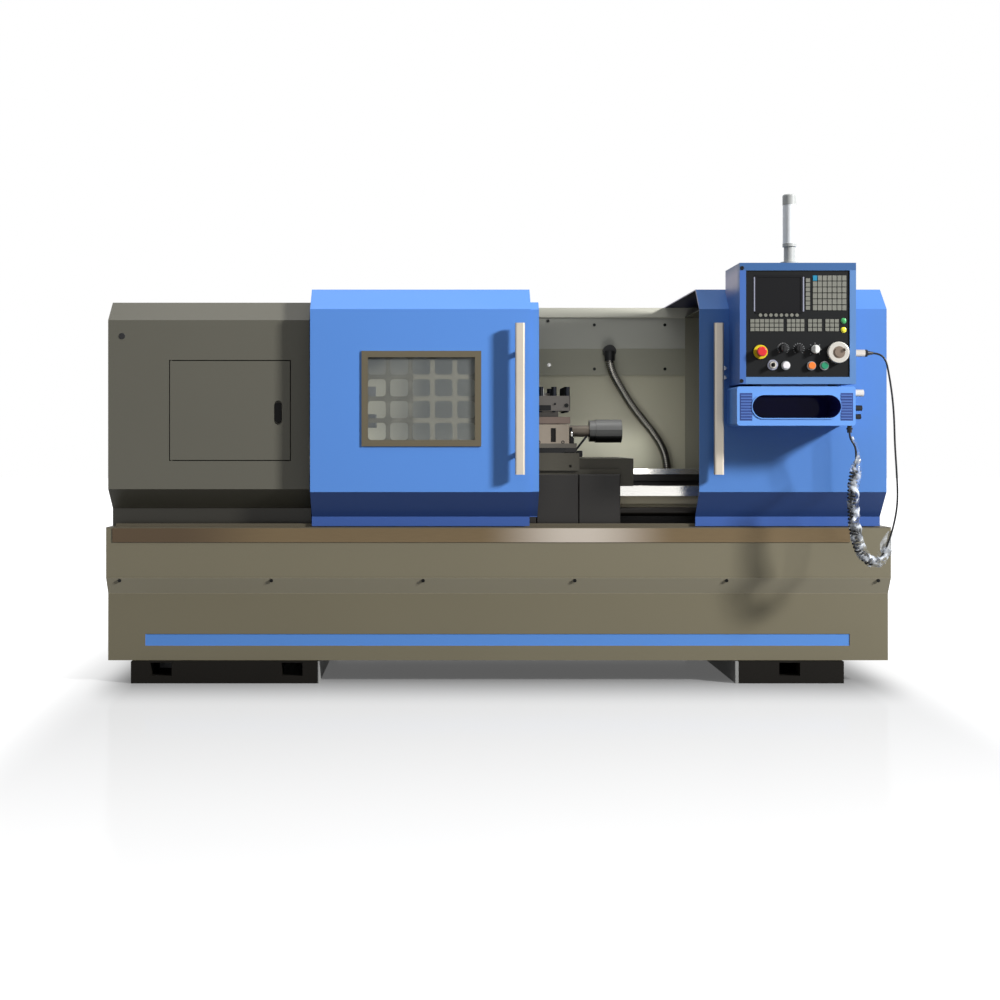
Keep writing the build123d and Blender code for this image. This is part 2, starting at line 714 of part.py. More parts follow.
# Saddle with the X motor, apron plates and X screw
def saddle():
    f0, f1 = front_way
    r0, r1 = rear_way
    under_rear = rear_way_top + fit_gap
    under_front = front_way_top + fit_gap
    body = block(saddle_left, saddle_right, saddle_front, saddle_back, under_rear, saddle_top)
    body += block(saddle_left, saddle_right, saddle_front, f1 + 10, under_front, under_rear)
    apron_right = apron_left + apron_pitch * apron_count
    body += block(apron_left, apron_right, lip_back, f0 - fit_gap, screw_z + 31, under_rear + 5)
    body += block(saddle_left, saddle_right, r1 + fit_gap, saddle_back, under_rear - 24, under_rear)
    body += block(bridge_left, bridge_right, bridge_front, bridge_back, under_rear, bridge_top)
    half, flare = dovetail_half, dovetail_flare
    tail = Polyline((turret_x - half, bridge_top), (turret_x + half, bridge_top),
                    (turret_x + half + flare, bridge_top + dovetail_height),
                    (turret_x - half - flare, bridge_top + dovetail_height), close=True)
    body += prism_y(make_face(tail), bridge_front, bridge_back)
    trough = 30
    body -= block(turret_x - trough, turret_x + trough, bridge_front + 20, bridge_back - 20,
                  cross_screw_z - 21, bridge_top + dovetail_height + 1)
    body -= rod_y(bridge_front + 5, bridge_back + 1, turret_x, cross_screw_z, 8 + running)
    nut_x = (apron_left + apron_right) / 2
    body += block(nut_x - 50, nut_x + 50, lip_back, f0 + 8, screw_z - 30, screw_z + 31)
    body -= rod_x(nut_x - 51, nut_x + 51, screw_y, screw_z, screw_radius + fit_gap)
    body -= rod_y(bridge_front - 1, bridge_front + 12, bridge_right - 37, 872, 6)
    motor = block(turret_x - 40, turret_x + 40, bridge_back, wall_front - 11,
                  bridge_top - 65, bridge_top + 15)
    motor -= rod_y(bridge_back - 1, bridge_back + 6, turret_x, cross_screw_z, 9)
    save("saddle", body, motor)
    plates = []
    for number in range(apron_count):
        x = apron_left + number * apron_pitch
        plate = block(x + 1, x + apron_pitch - 1, apron_front, lip_back, apron_bottom, apron_top)
        plate = chamfer(plate.faces().sort_by(Axis.Y)[0].edges(), 3)
        plates.append(plate)
    save("apron_plates", *plates)
    screw = rod_y(bridge_front + 21, bridge_back - 21, turret_x, cross_screw_z, cross_screw_radius)
    screw += rod_y(bridge_front + 6, bridge_back + 4, turret_x, cross_screw_z, 8)
    save("x_screw", screw)


# Cross slide and four-way turret
def turret():
    half, flare = dovetail_half + fit_gap, dovetail_flare
    slide_back = slide_front + slide_length
    slide = block(bridge_left + 10, bridge_right - 10, slide_front, slide_back, bridge_top + 2, slide_top)
    low, high = bridge_top, bridge_top + dovetail_height + fit_gap
    groove = Polyline((turret_x - half, low), (turret_x + half, low), (turret_x + half + flare + 1, high),
                      (turret_x - half - flare - 1, high), close=True)
    slide -= prism_y(make_face(groove), slide_front - 1, slide_back + 1)
    nut_y = slide_front + slide_length / 2
    slide += block(turret_x - 17, turret_x + 17, nut_y - 30, nut_y + 30, cross_screw_z - 17, slide_top - 10)
    slide -= rod_y(nut_y - 31, nut_y + 31, turret_x, cross_screw_z, cross_screw_radius + fit_gap)
    save("cross_slide", slide)

    half = turret_base_size / 2
    base = block(turret_x - half, turret_x + half, turret_y - half, turret_y + half,
                 slide_top, turret_base_top)
    base = chamfer(base.edges().filter_by(Axis.Z), 6)
    base -= block(turret_x + 41, turret_x + 61, turret_y - half - 1, turret_y - half + 12, slide_top + 6,
                  turret_base_top - 16)
    base += rod_z(turret_base_top - 1, slot_bottom, turret_x, turret_y, turret_pivot_radius)
    right = turret_x + half
    base += rod_x(right - 2, right + 93, turret_y, turret_motor_z, 24)
    base += block(right, right + 18, turret_y - 60, turret_y - 35, slide_top, turret_base_top - 12)
    motor = rod_x(right + 93, right + 118, turret_y, turret_motor_z, 44)
    motor += rod_x(right + 118, right + 226, turret_y, turret_motor_z, 48)
    save("turret_base", base, motor)

    half = turret_size / 2
    core = turret_core / 2
    square = (turret_x - half, turret_x + half, turret_y - half, turret_y + half)
    lower = block(*square, turret_bottom, slot_bottom)
    lower += rod_z(turret_base_top + fit_gap, turret_bottom + 1, turret_x, turret_y, 90)
    lower -= rod_z(turret_base_top, slot_bottom + fit_gap, turret_x, turret_y, turret_pivot_radius + fit_gap)
    waist = block(turret_x - core, turret_x + core, turret_y - core, turret_y + core, slot_bottom, slot_top)
    waist -= rod_z(slot_bottom - 1, slot_bottom + fit_gap, turret_x, turret_y, turret_pivot_radius + fit_gap)
    upper = chamfer(block(*square, slot_top, turret_top).edges().filter_by(Axis.Z), 5)
    upper += rod_z(turret_top - 1, turret_top + 14, turret_x, turret_y, 48)
    bolts = []
    for column in range(-2, 3):
        for row in range(-2, 3):
            if max(abs(column), abs(row)) < 2:
                continue
            x, y = turret_x + column * bolt_pitch, turret_y + row * bolt_pitch
            upper -= rod_z(slot_top - 1, turret_top + 1, x, y, 7.3)
            corner = column * row % 2 == 0
            cap = Circle(bolt_radius) if corner else Rectangle(16, 16)
            top = extrude(Pos(x, y, turret_top) * cap, amount=bolt_top - turret_top)
            bolts.append(top + rod_z(slot_top - 6, turret_top + 1, x, y, 7))
    save("turret_head", lower, waist, upper)
    save("clamp_bolts", *bolts)


# Tailstock, quill and handwheel
def tailstock():
    under_rear = rear_way_top + fit_gap
    under_front = front_way_top + fit_gap
    body = block(tail_left, tail_right, saddle_front + 15, saddle_back - 12, under_rear, saddle_top)
    body += block(tail_left, tail_right, front_way[0] + 2, front_way[1] + 8, under_front, under_rear)
    body += block(tail_left + 50, tail_right - 20, axis_y - 75, axis_y + 75, saddle_top, axis_z - 30)
    body += rod_x(tail_left + 20, tail_right, axis_y, axis_z, barrel_radius)
    body -= rod_x(tail_left, tail_right - 12, axis_y, axis_z, quill_radius + running)
    body -= rod_x(tail_right - 13, tail_right + 1, axis_y, axis_z, 14 + running)
    save("tailstock", body)
    quill = rod_x(quill_left, tail_right - 25, axis_y, axis_z, quill_radius)
    length = quill_left - centre_left
    quill += Pos(quill_left - length / 2, axis_y, axis_z) * Rot(0, -90, 0) * Cone(32, 1, length)
    save("quill", quill)
    wheel_left = tail_right + 34
    wheel = Pos(wheel_left + 12, axis_y, axis_z) * Rot(0, 90, 0) * Torus(tail_wheel_radius, 12)
    wheel += rod_x(tail_right - 12, wheel_left + 20, axis_y, axis_z, 14)
    wheel += rod_x(tail_right + 1, wheel_left + 20, axis_y, axis_z, 26)
    for number in range(3):
        spoke = block(wheel_left + 6, wheel_left + 18, -10, 10, 20, tail_wheel_radius - 4)
        wheel += Pos(0, axis_y, axis_z) * Rot(120 * number, 0, 0) * spoke
    save("tail_wheel", wheel)


# Control box on the right hood, with its panel
def control_box():
    bevel = hood_flat_top + (box_back - hood_front) * (hood_top - hood_flat_top) / (hood_foot - hood_front)
    outline = [(box_front, box_bottom), (box_front, box_top), (box_back, box_top), (box_back, bevel),
               (hood_front, hood_flat_top), (hood_front, box_bottom)]
    box = prism_x(outline, box_left, box_right)
    rim = panel_front + panel_thick
    inner = [(rim, box_bottom + sheet), (rim, box_top - sheet), (box_back - sheet, box_top - sheet),
             (box_back - sheet, bevel), (hood_front - sheet, hood_flat_top - 10),
             (hood_front - sheet, box_bottom + sheet)]
    box -= prism_x(inner, box_left + sheet, box_right - sheet)
    box -= block(panel_left, panel_right, box_front - 1, rim + 1, panel_bottom, panel_top)
    save("control_box", box)

    plate = block(panel_left + fit_gap, panel_right - fit_gap, panel_front, rim,
                  panel_bottom + fit_gap, panel_top - fit_gap)
    plate += rod_y(panel_front - 5, panel_front + 1, *stop_at, 27)
    for at in (white_at, orange_at, green_at):
        plate += rod_y(panel_front - 7, panel_front + 1, *at, 17)
        plate -= rod_y(panel_front - 8, panel_front, *at, 14)
        plate -= rod_y(panel_front - 9, rim + 1, *at, 5.3)
    for at, hole in ((stop_at, 9.3), (feed_at, 4.3), (speed_at, 4.3), (mode_at, 4.3),
                     (key_at, 5.3), (wheel_at, 8.3)):
        plate -= rod_y(panel_front - 9, rim + 1, *at, hole)
    save("panel_plate", plate)

    x0, x1, z0, z1 = screen_area
    screen = block(x0 - 8, x1 + 8, panel_front - 3, panel_front, z0 - 8, z1 + 8)
    screen -= block(x0, x1, panel_front - 4, panel_front - 1.5, z0, z1)
    save("screen", screen)

    keys = []

    def key_field(left, right, bottom, top, columns, rows):
        """Grid of flat membrane keys."""
        wide, tall = (right - left) / columns, (top - bottom) / rows
        for column in range(columns):
            for row in range(rows):
                x, z = left + column * wide, bottom + row * tall
                keys.append(block(x + 1.5, x + wide - 1.5, panel_front - 2, panel_front,
                                  z + 1.5, z + tall - 1.5))

    key_field(*soft_keys)
    key_field(*keypad)
    for left, right, columns in key_blocks:
        key_field(left, right, *key_row, columns, 3)
    for number in range(round_key_count):
        x = round_key_left + number * round_key_pitch
        keys.append(rod_y(panel_front - 2, panel_front, x, round_key_z, 6.5))
    save("panel_keys", *keys)


# Knobs, buttons and the handwheel on the panel
def controls():
    y = panel_front
    inside = panel_front + panel_thick + 12
    head = rod_y(y - 32, y - 16, *stop_at, 19)
    head = fillet(head.edges().filter_by(GeomType.CIRCLE).sort_by(Axis.Y)[0], 5)
    save("stop_button", head + rod_y(y - 17, inside, *stop_at, 9))
    for name, at in (("feed_dial", feed_at), ("speed_dial", speed_at)):
        knob = rod_y(y - 24, y - 1, *at, 13)
        knob = chamfer(knob.edges().filter_by(GeomType.CIRCLE).sort_by(Axis.Y)[0], 3)
        knob += block(at[0] - 2.5, at[0] + 2.5, y - 27, y - 23, at[1] - 11, at[1] + 11)
        save(name, knob + rod_y(y - 2, inside, *at, 4))
    knob = rod_y(y - 14, y - 1, *mode_at, 16)
    knob += block(mode_at[0] - 5, mode_at[0] + 5, y - 26, y - 13, mode_at[1] - 14, mode_at[1] + 14)
    save("mode_selector", knob + rod_y(y - 2, inside, *mode_at, 4))
    key = rod_y(y - 9, y - 1, *key_at, 13)
    key += block(key_at[0] - 1.5, key_at[0] + 1.5, y - 30, y - 8, key_at[1] - 9, key_at[1] + 9)
    save("key_switch", key + rod_y(y - 2, inside, *key_at, 5))
    for name, at in (("button_white", white_at), ("button_orange", orange_at), ("button_green", green_at)):
        cap = rod_y(y - 16, y - 5, *at, 13.7)
        cap = chamfer(cap.edges().filter_by(GeomType.CIRCLE).sort_by(Axis.Y)[0], 1.5)
        save(name, cap + rod_y(y - 6, inside, *at, 5))
    wheel = rod_y(y - 30, y - 9, *wheel_at, 41)
    wheel = fillet(wheel.edges().filter_by(GeomType.CIRCLE), 4)
    wheel += rod_y(y - 34, y - 29, *wheel_at, 17)
    wheel += rod_y(y - 44, y - 29, wheel_at[0] + 25, wheel_at[1] + 12, 6)
    wheel += rod_y(y - 10, y - 1, *wheel_at, 20)
    save("panel_wheel", wheel + rod_y(y - 2, inside, *wheel_at, 8))


# Lower box with its grip pocket
def lower_box():
    box = block(lower_left, box_right, lower_front, hood_front, lower_bottom, lower_top)
    box = fillet(box.edges().filter_by(Axis.Y), 10)
    box -= block(lower_left + sheet, box_right - sheet, lower_front + sheet, hood_front + 1,
                 lower_bottom + sheet, lower_top - sheet)
    rim, floor = sheet, lower_front + pocket_depth
    outer = (pocket_left - rim, pocket_right + rim, pocket_bottom - rim, pocket_top + rim)
    box += slot_y(*outer, lower_front - 3, floor + sheet)
    box -= slot_y(pocket_left, pocket_right, pocket_bottom, pocket_top, lower_front - 4, floor)
    box += block(lower_left + 98, box_right - 96, lower_front + 35, hood_front - 15,
                 lower_top - 1, box_bottom)
    for side in (0, 1):
        for number in range(9):
            z = pocket_bottom - 4 + number * 11
            x = lower_left + 14 if side == 0 else box_right - 56
            box += block(x, x + 42, lower_front - 2, lower_front + 1, z, z + 5)
    box -= slot_y(pocket_left, pocket_right, pocket_bottom, pocket_top, lower_front - 4, floor)
    save("lower_box", box)


# Signal lamp on the control box
def signal_lamp():
    base = rod_z(box_top, lamp_base_top, lamp_x, lamp_y, lamp_radius - 5)
    base += rod_z(box_top, box_top + 8, lamp_x, lamp_y, lamp_radius + 8)
    base += rod_z(lamp_base_top - 12, lamp_base_top, lamp_x, lamp_y, lamp_radius)
    cap = rod_z(lamp_lens_top, lamp_top, lamp_x, lamp_y, lamp_radius)
    cap = fillet(cap.edges().sort_by(Axis.Z)[-1], 7)
    save("lamp_frame", base, cap)
    save("lamp_lens", rod_z(lamp_base_top, lamp_lens_top, lamp_x, lamp_y, lamp_radius - 1))


def tube(points, diameter, label):
    """Straight runs joined by tangent arcs, each arc as large as its runs allow."""
    path_points = [Vector(*p) for p in points]
    radii = []
    for a, b, c in zip(path_points, path_points[1:], path_points[2:]):
        turn = (b - a).get_angle(c - b)
        radii.append(0.45 * min((b - a).length, (c - b).length) / tan(radians(turn / 2)))
    path = FilletPolyline(*path_points, radius=radii)
    start = Plane(origin=path @ 0, z_dir=path % 0)
    solid = sweep(start * Circle(diameter / 2), path=path)
    wanted = pi * diameter * diameter / 4 * path.length
    print(label, "radii", [round(r) for r in radii], "length", round(path.length),
          "volume ratio", round(solid.volume / wanted, 4))
    return solid


hose_route = [(536, 140, 1335), (540, 138, 1303), (556, 136, 1262), (590, 134, 1203), (636, 132, 1128),
              (688, 130, 1062), (735, 128, 1003), (768, 127, 950), (786, 127, 900), (793, 128, 848),
              (795, 130, 800), (796, 132, 760)]
hose_route = [(x * along, y * across, z) for x, y, z in hose_route]
cord_down = [(1436, -790, 121), (1456, -790, 119), (1475, -791, 108), (1487, -792, 88),
             (1493, -793, 60), (1501, -794, 13), (1510, -795, -52), (1516, -796, -132),
             (1518, -797, -227), (1524, -798, -322), (1529, -798, -417), (1526, -798, -477),
             (1516, -798, -532), (1502, -798, -584), (1484, -798, -632), (1466, -798, -664),
             (1449, -799, -680), (1430, -800, -686), (1409, -800, -676), (1393, -800, -657)]
cord_coiled = [(1393, -800, -657), (1376, -800, -636.8), (1364, -800, -592), (1354, -800, -537),
               (1350, -800, -472), (1351, -800, -402), (1359, -800, -342), (1364, -800, -312)]
cord_up = [(1364, -800, -312), (1368, -800, -288), (1368, -800, -257), (1362, -800, -234), (1351, -800, -218),
           (1344, -800, -202), (1342.5, -800, -186)]
cord_down, cord_coiled, cord_up = [[(x * along, y * across, box_bottom + drop) for x, y, drop in route]
                                   for route in (cord_down, cord_coiled, cord_up)]


# Hose between two fittings on the rear wall
def hose():
    x, y, z = hose_route[0]
    upper = rod_y(y - 5, wall_front - sheet, x, z + 44, 29) + rod_z(z, z + 44, x, y, hose_diameter / 2 + 4)
    x, y, z = hose_route[-1]
    lower = rod_z(z - 45, z, x, y, hose_diameter / 2 + 5)
    lower += block(x - 26, x + 26, y - 20, wall_front, z - 60, z - 44)
    save("hose_glands", upper, lower)
    save("conduit_hose", tube(hose_route, hose_diameter, "hose"))


# Cord from the control box round to the lower box
def cord():
    x, y, z = cord_down[0]
    plug = rod_x(box_right, box_right + 12, y, z, 17) + rod_x(box_right + 11, box_right + 57, y, z, 14)
    boot = Pos((box_right + 57 + x) / 2, y, z) * Rot(0, 90, 0) * Cone(10, 5, x - box_right - 57)
    x, y, z = cord_up[-1]
    gland = rod_z(z, lower_bottom, x, y, 9) + rod_z(z + 12, z + 19, x, y, 12)
    sides = [rod_x(box_right, box_right + reach, lamp_y, lower_top - drop, r)
             for drop, r, reach in ((24, 14, 42), (82, 11, 36), (115, 10, 32))]
    save("cord_fittings", plug + boot, gland, *sides)
    down = tube(cord_down, cord_diameter, "cord down")
    up = tube(cord_up, cord_diameter, "cord up")
    save("panel_cord", down, up)
    save("cord_coil", tube(cord_coiled, coil_diameter, "cord coil"))


chip_tray()
skirts()
pedestals()
drive_motors()
bed()
headstock()
chuck()
headstock_cover()
tail_cover()
rear_wall()
electrical_cabinet()
left_hood()
right_hood()
saddle()
turret()
tailstock()
control_box()
controls()
lower_box()
signal_lamp()
hose()
cord()
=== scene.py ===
from math import cos, radians, sin, tau

import bmesh
import bpy
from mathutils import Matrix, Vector, noise


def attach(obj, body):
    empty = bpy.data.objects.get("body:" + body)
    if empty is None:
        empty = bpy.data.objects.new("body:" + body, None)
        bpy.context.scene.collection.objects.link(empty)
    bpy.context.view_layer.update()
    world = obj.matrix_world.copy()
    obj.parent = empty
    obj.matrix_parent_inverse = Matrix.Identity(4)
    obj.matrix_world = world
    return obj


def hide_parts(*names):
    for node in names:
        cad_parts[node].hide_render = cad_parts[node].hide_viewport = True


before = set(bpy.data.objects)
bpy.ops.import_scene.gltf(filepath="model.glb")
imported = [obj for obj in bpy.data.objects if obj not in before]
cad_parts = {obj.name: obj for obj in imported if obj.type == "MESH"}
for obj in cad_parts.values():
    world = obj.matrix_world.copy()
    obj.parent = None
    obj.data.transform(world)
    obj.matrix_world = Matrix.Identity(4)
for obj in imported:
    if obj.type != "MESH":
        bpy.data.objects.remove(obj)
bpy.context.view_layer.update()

scene = bpy.context.scene

# Camera of the front view. It stands low and left of the middle, square to the
# machine, and a small lens shift frames the whole length as the picture does.
camera_data = bpy.data.cameras.new("front_camera")
camera_data.lens = 51.3
camera_data.sensor_width = 36
camera_data.shift_x = 0.068
camera_data.shift_y = -0.060
camera_data.clip_end = 60
camera = bpy.data.objects.new("front_camera", camera_data)
camera.location = (-0.266, -6.290, 0.978)
camera.rotation_euler = (radians(90), 0, 0)
scene.collection.objects.link(camera)
scene.camera = camera


# Cord of the control panel. A thin lead in a black rubber sheath leaves the box's side,
# hangs in front of the base and comes back up as a curly stretch to the gland of the
# lower box. Its routes are in millimetres.
CORD_DIAMETER = 0.0075
COIL_OUTSIDE = 0.038
COIL_SLACK = 0.0008
COIL_TURNS = 31
POINTS_PER_TURN = 12
OPENING_TURNS = 2
OPENING_SPEED = 0.2
JOINED_POINTS = 3
cord_down = [(1436, -790, 1313), (1456, -790, 1311), (1475, -791, 1300), (1487, -792, 1280),
             (1493, -793, 1252), (1501, -794, 1205), (1510, -795, 1140), (1516, -796, 1060),
             (1518, -797, 965), (1524, -798, 870), (1529, -798, 775), (1526, -798, 715),
             (1516, -798, 660), (1502, -798, 608), (1484, -798, 560), (1466, -798, 528),
             (1449, -799, 512)]
cord_coiled = [(1449, -799, 512), (1430, -800, 506), (1409, -800, 516), (1393, -800, 535),
               (1376, -800, 555.2), (1364, -800, 600), (1354, -800, 655), (1350, -800, 720),
               (1351, -800, 790), (1359, -800, 850), (1364, -800, 880)]
cord_up = [(1364, -800, 880), (1368, -800, 904), (1368, -800, 935), (1362, -800, 958),
           (1351, -800, 974), (1344, -800, 990), (1342.5, -800, 1006)]


def metres(points):
    """Points given in millimetres, as vectors in metres."""
    return [Vector(p) / 1000 for p in points]


def nurbs_curve(name, points, thick=0.0):
    """One smooth open spline through its first and last point."""
    data = bpy.data.curves.new(name, "CURVE")
    data.dimensions = "3D"
    spline = data.splines.new("NURBS")
    spline.points.add(len(points) - 1)
    for point, place in zip(spline.points, points):
        point.co = (*place, 1)
        point.radius = thick
    spline.order_u = 3
    spline.use_endpoint_u = True
    spline.resolution_u = 6
    data.bevel_depth = 1 if thick else 0
    data.bevel_resolution = 4
    data.use_fill_caps = True
    piece = bpy.data.objects.new(name, data)
    scene.collection.objects.link(piece)
    return piece


def line_points(points, resolution=24):
    """Points read along the smooth spline of a route."""
    guide = nurbs_curve("route_guide", points)
    guide.data.splines[0].resolution_u = resolution
    bpy.context.view_layer.update()
    evaluated = guide.evaluated_get(bpy.context.evaluated_depsgraph_get())
    shape = bpy.data.meshes.new_from_object(evaluated)
    found = [v.co.copy() for v in shape.vertices]
    bpy.data.meshes.remove(shape)
    bpy.data.objects.remove(guide)
    return found


def even_points(points, count):
    """The same line with its points the same distance apart."""
    lengths = [0.0]
    for a, b in zip(points, points[1:]):
        lengths.append(lengths[-1] + (b - a).length)
    result = []
    index = 0
    for number in range(count):
        wanted = lengths[-1] * number / (count - 1)
        while index < len(points) - 2 and lengths[index + 1] < wanted:
            index += 1
        span = lengths[index + 1] - lengths[index]
        share = (wanted - lengths[index]) / span if span else 0
        result.append(points[index].lerp(points[index + 1], min(max(share, 0), 1)))
    return result


def path_length(points):
    """Length of a line through points."""
    return sum((b - a).length for a, b in zip(points, points[1:]))


coil_axis = even_points(line_points(metres(cord_coiled)), COIL_TURNS * POINTS_PER_TURN + 1)
coil_radius = (COIL_OUTSIDE - CORD_DIAMETER) / 2 - COIL_SLACK
# The coil widens over its first and last turns, where it also turns more slowly, and
# its outermost points give way to the straight leads.
helix = []
angle = 0.0
for number, centre in enumerate(coil_axis):
    ahead = coil_axis[min(number + 1, len(coil_axis) - 1)] - coil_axis[max(number - 1, 0)]
    side = Vector((0, 1, 0))
    across = ahead.cross(side).normalized()
    from_end = min(number, len(coil_axis) - 1 - number)
    share = min(from_end / (OPENING_TURNS * POINTS_PER_TURN), 1)
    angle += tau / POINTS_PER_TURN * (OPENING_SPEED + (1 - OPENING_SPEED) * share)
    helix.append(centre + (side * sin(angle) + across * cos(angle)) * coil_radius * share)
cord_route = metres(cord_down)[:-1] + helix[JOINED_POINTS:-JOINED_POINTS] + metres(cord_up)[1:]
panel_cord = nurbs_curve("panel_cord_line", cord_route, CORD_DIAMETER / 2)
panel_cord_length = path_length(line_points(cord_route, 8))
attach(panel_cord, "right_hood")
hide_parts("panel_cord", "cord_coil")


# Conduit hose between the two glands on the rear wall. It is a ribbed metal hose, fixed
# in both, that hangs from the upper one in a slack curve down behind the rear way.
HOSE_DIAMETER = 0.039
RIB_PITCH = 0.009
RIB_HEIGHT = 0.0022
RIB_ROUNDNESS = 0.6
RINGS_PER_RIB = 6
hose_route = [(536, 140, 1335), (540, 138, 1303), (556, 136, 1262), (590, 134, 1203),
              (636, 132, 1128), (688, 130, 1062), (735, 128, 1003), (768, 127, 950),
              (786, 127, 900), (793, 128, 848), (795, 130, 800), (796, 132, 760)]


def tube_mesh(name, path, radius_at, sides=28):
    """Round tube along a path, its radius a function of the distance and the angle."""
    mesh = bpy.data.meshes.new(name)
    verts, faces = [], []
    travelled = 0.0
    across = Vector((0, 1, 0))
    for number, centre in enumerate(path):
        ahead = (path[min(number + 1, len(path) - 1)] - path[max(number - 1, 0)]).normalized()
        across = (across - ahead * across.dot(ahead)).normalized()
        other = ahead.cross(across)
        if number:
            travelled += (centre - path[number - 1]).length
        for step in range(sides):
            angle = tau * step / sides
            radius = radius_at(travelled, angle)
            verts.append(centre + (across * cos(angle) + other * sin(angle)) * radius)
    for ring in range(len(path) - 1):
        for step in range(sides):
            a = ring * sides + step
            b = ring * sides + (step + 1) % sides
            faces.append((a, b, b + sides, a + sides))
    faces.append(tuple(reversed(range(sides))))
    faces.append(tuple(range((len(path) - 1) * sides, len(path) * sides)))
    mesh.from_pydata(verts, [], faces)
    mesh.polygons.foreach_set("use_smooth", [True] * len(mesh.polygons))
    piece = bpy.data.objects.new(name, mesh)
    scene.collection.objects.link(piece)
    return piece


hose_line = line_points(metres(hose_route))
hose_path = even_points(hose_line, int(path_length(hose_line) / RIB_PITCH) * RINGS_PER_RIB + 1)


def hose_radius(distance, angle):
    """Radius of the ribbed wall, the same all round."""
    rib = 0.5 + 0.5 * cos(tau * distance / RIB_PITCH)
    return HOSE_DIAMETER / 2 - RIB_HEIGHT + RIB_HEIGHT * rib ** RIB_ROUNDNESS


hose = tube_mesh("conduit_line", hose_path, hose_radius)
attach(hose, "machine")
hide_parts("conduit_hose")


# Floor and lights. A pale floor with a faint polish glows white as painted light away from the machine.
# A hard key lamp stands high on the right, a wide one hangs overhead, a small one lights
# the turret's corner, and a board shades the rear wall beside the right hood.
FLOOR_REACH = 30
FLOOR_GREY = (0.21, 0.21, 0.21, 1)
BOUNCE_GREY = (0.05, 0.05, 0.05, 1)
FLOOR_GLOW = 0.11
FLOOR_POLISH = 0.06
POLISH_BLUR = 0.12
BASE_HALF_LENGTH = 1.45
BASE_HALF_DEPTH = 0.45
SIDE_STRETCH = 3.0
SKY_TINT = (0.93, 0.96, 1.0, 1)


def tone(red, green, blue):
    """A display colour from 0 to 255 as the light value that a shader takes."""
    def channel(value):
        share = value / 255
        return share / 12.92 if share <= 0.04045 else ((share + 0.055) / 1.055) ** 2.4
    return (channel(red), channel(green), channel(blue), 1)


def math_node(tree, kind, first, second=None, third=None):
    """One sum in a shader tree, its inputs given as numbers or as outputs."""
    node = tree.nodes.new("ShaderNodeMath")
    node.operation = kind
    for index, value in enumerate((first, second, third)):
        if value is None:
            continue
        if isinstance(value, (int, float)):
            node.inputs[index].default_value = value
        else:
            tree.links.new(value, node.inputs[index])
    return node.outputs[0]


def ramp_node(tree, value, start, end, low=0.0, high=1.0, soft=True):
    """A ramp in a shader tree, from low where the value is at its start to high at its end."""
    node = tree.nodes.new("ShaderNodeMapRange")
    if soft:
        node.interpolation_type = "SMOOTHSTEP"
    for label, number in (("From Min", start), ("From Max", end), ("To Min", low), ("To Max", high)):
        node.inputs[label].default_value = number
    tree.links.new(value, node.inputs["Value"])
    return node.outputs[0]


def place_parts(tree, kind="Object"):
    """X, Y and Z of the place being shaded."""
    place = tree.nodes.new("ShaderNodeTexCoord")
    parts = tree.nodes.new("ShaderNodeSeparateXYZ")
    tree.links.new(place.outputs[kind], parts.inputs[0])
    return parts.outputs


def mix_shaders(tree, share, first, second):
    """Two shaders in one, the second's share given as a number or as an output."""
    node = tree.nodes.new("ShaderNodeMixShader")
    if isinstance(share, float):
        node.inputs[0].default_value = share
    else:
        tree.links.new(share, node.inputs[0])
    tree.links.new(first, node.inputs[1])
    tree.links.new(second, node.inputs[2])
    return node.outputs[0]


def beyond(tree, place, half):
    """How far a place along one axis lies outside a length centred on zero."""
    outside = math_node(tree, "SUBTRACT", math_node(tree, "ABSOLUTE", place), half)
    return math_node(tree, "MAXIMUM", outside, 0.0)


def stage_piece(name, corners):
    """One flat face of the studio, which isn't part of the machine."""
    mesh = bpy.data.meshes.new(name)
    mesh.from_pydata(corners, [], [tuple(range(len(corners)))])
    piece = bpy.data.objects.new(name, mesh)
    scene.collection.objects.link(piece)
    return piece


floor = stage_piece("studio_floor", [(-FLOOR_REACH, -FLOOR_REACH, 0), (FLOOR_REACH, -FLOOR_REACH, 0),
                                     (FLOOR_REACH, FLOOR_REACH, 0), (-FLOOR_REACH, FLOOR_REACH, 0)])
floor_finish = bpy.data.materials.new("studio_floor")
floor_finish.use_nodes = True
tree = floor_finish.node_tree
tree.nodes.remove(tree.nodes["Principled BSDF"])
matt = tree.nodes.new("ShaderNodeBsdfDiffuse")
matt.inputs["Color"].default_value = FLOOR_GREY
bounce = tree.nodes.new("ShaderNodeBsdfDiffuse")
bounce.inputs["Color"].default_value = BOUNCE_GREY
polish = tree.nodes.new("ShaderNodeBsdfAnisotropic")
polish.inputs["Roughness"].default_value = POLISH_BLUR
rays = tree.nodes.new("ShaderNodeLightPath")
parts = place_parts(tree)
past_side = beyond(tree, parts["X"], BASE_HALF_LENGTH)
past_front = beyond(tree, parts["Y"], BASE_HALF_DEPTH)
aside = math_node(tree, "MULTIPLY", past_side, SIDE_STRETCH)
reach = math_node(tree, "POWER", math_node(tree, "ADD", math_node(tree, "POWER", aside, 2.0),
                                           math_node(tree, "POWER", past_front, 2.0)), 0.5)
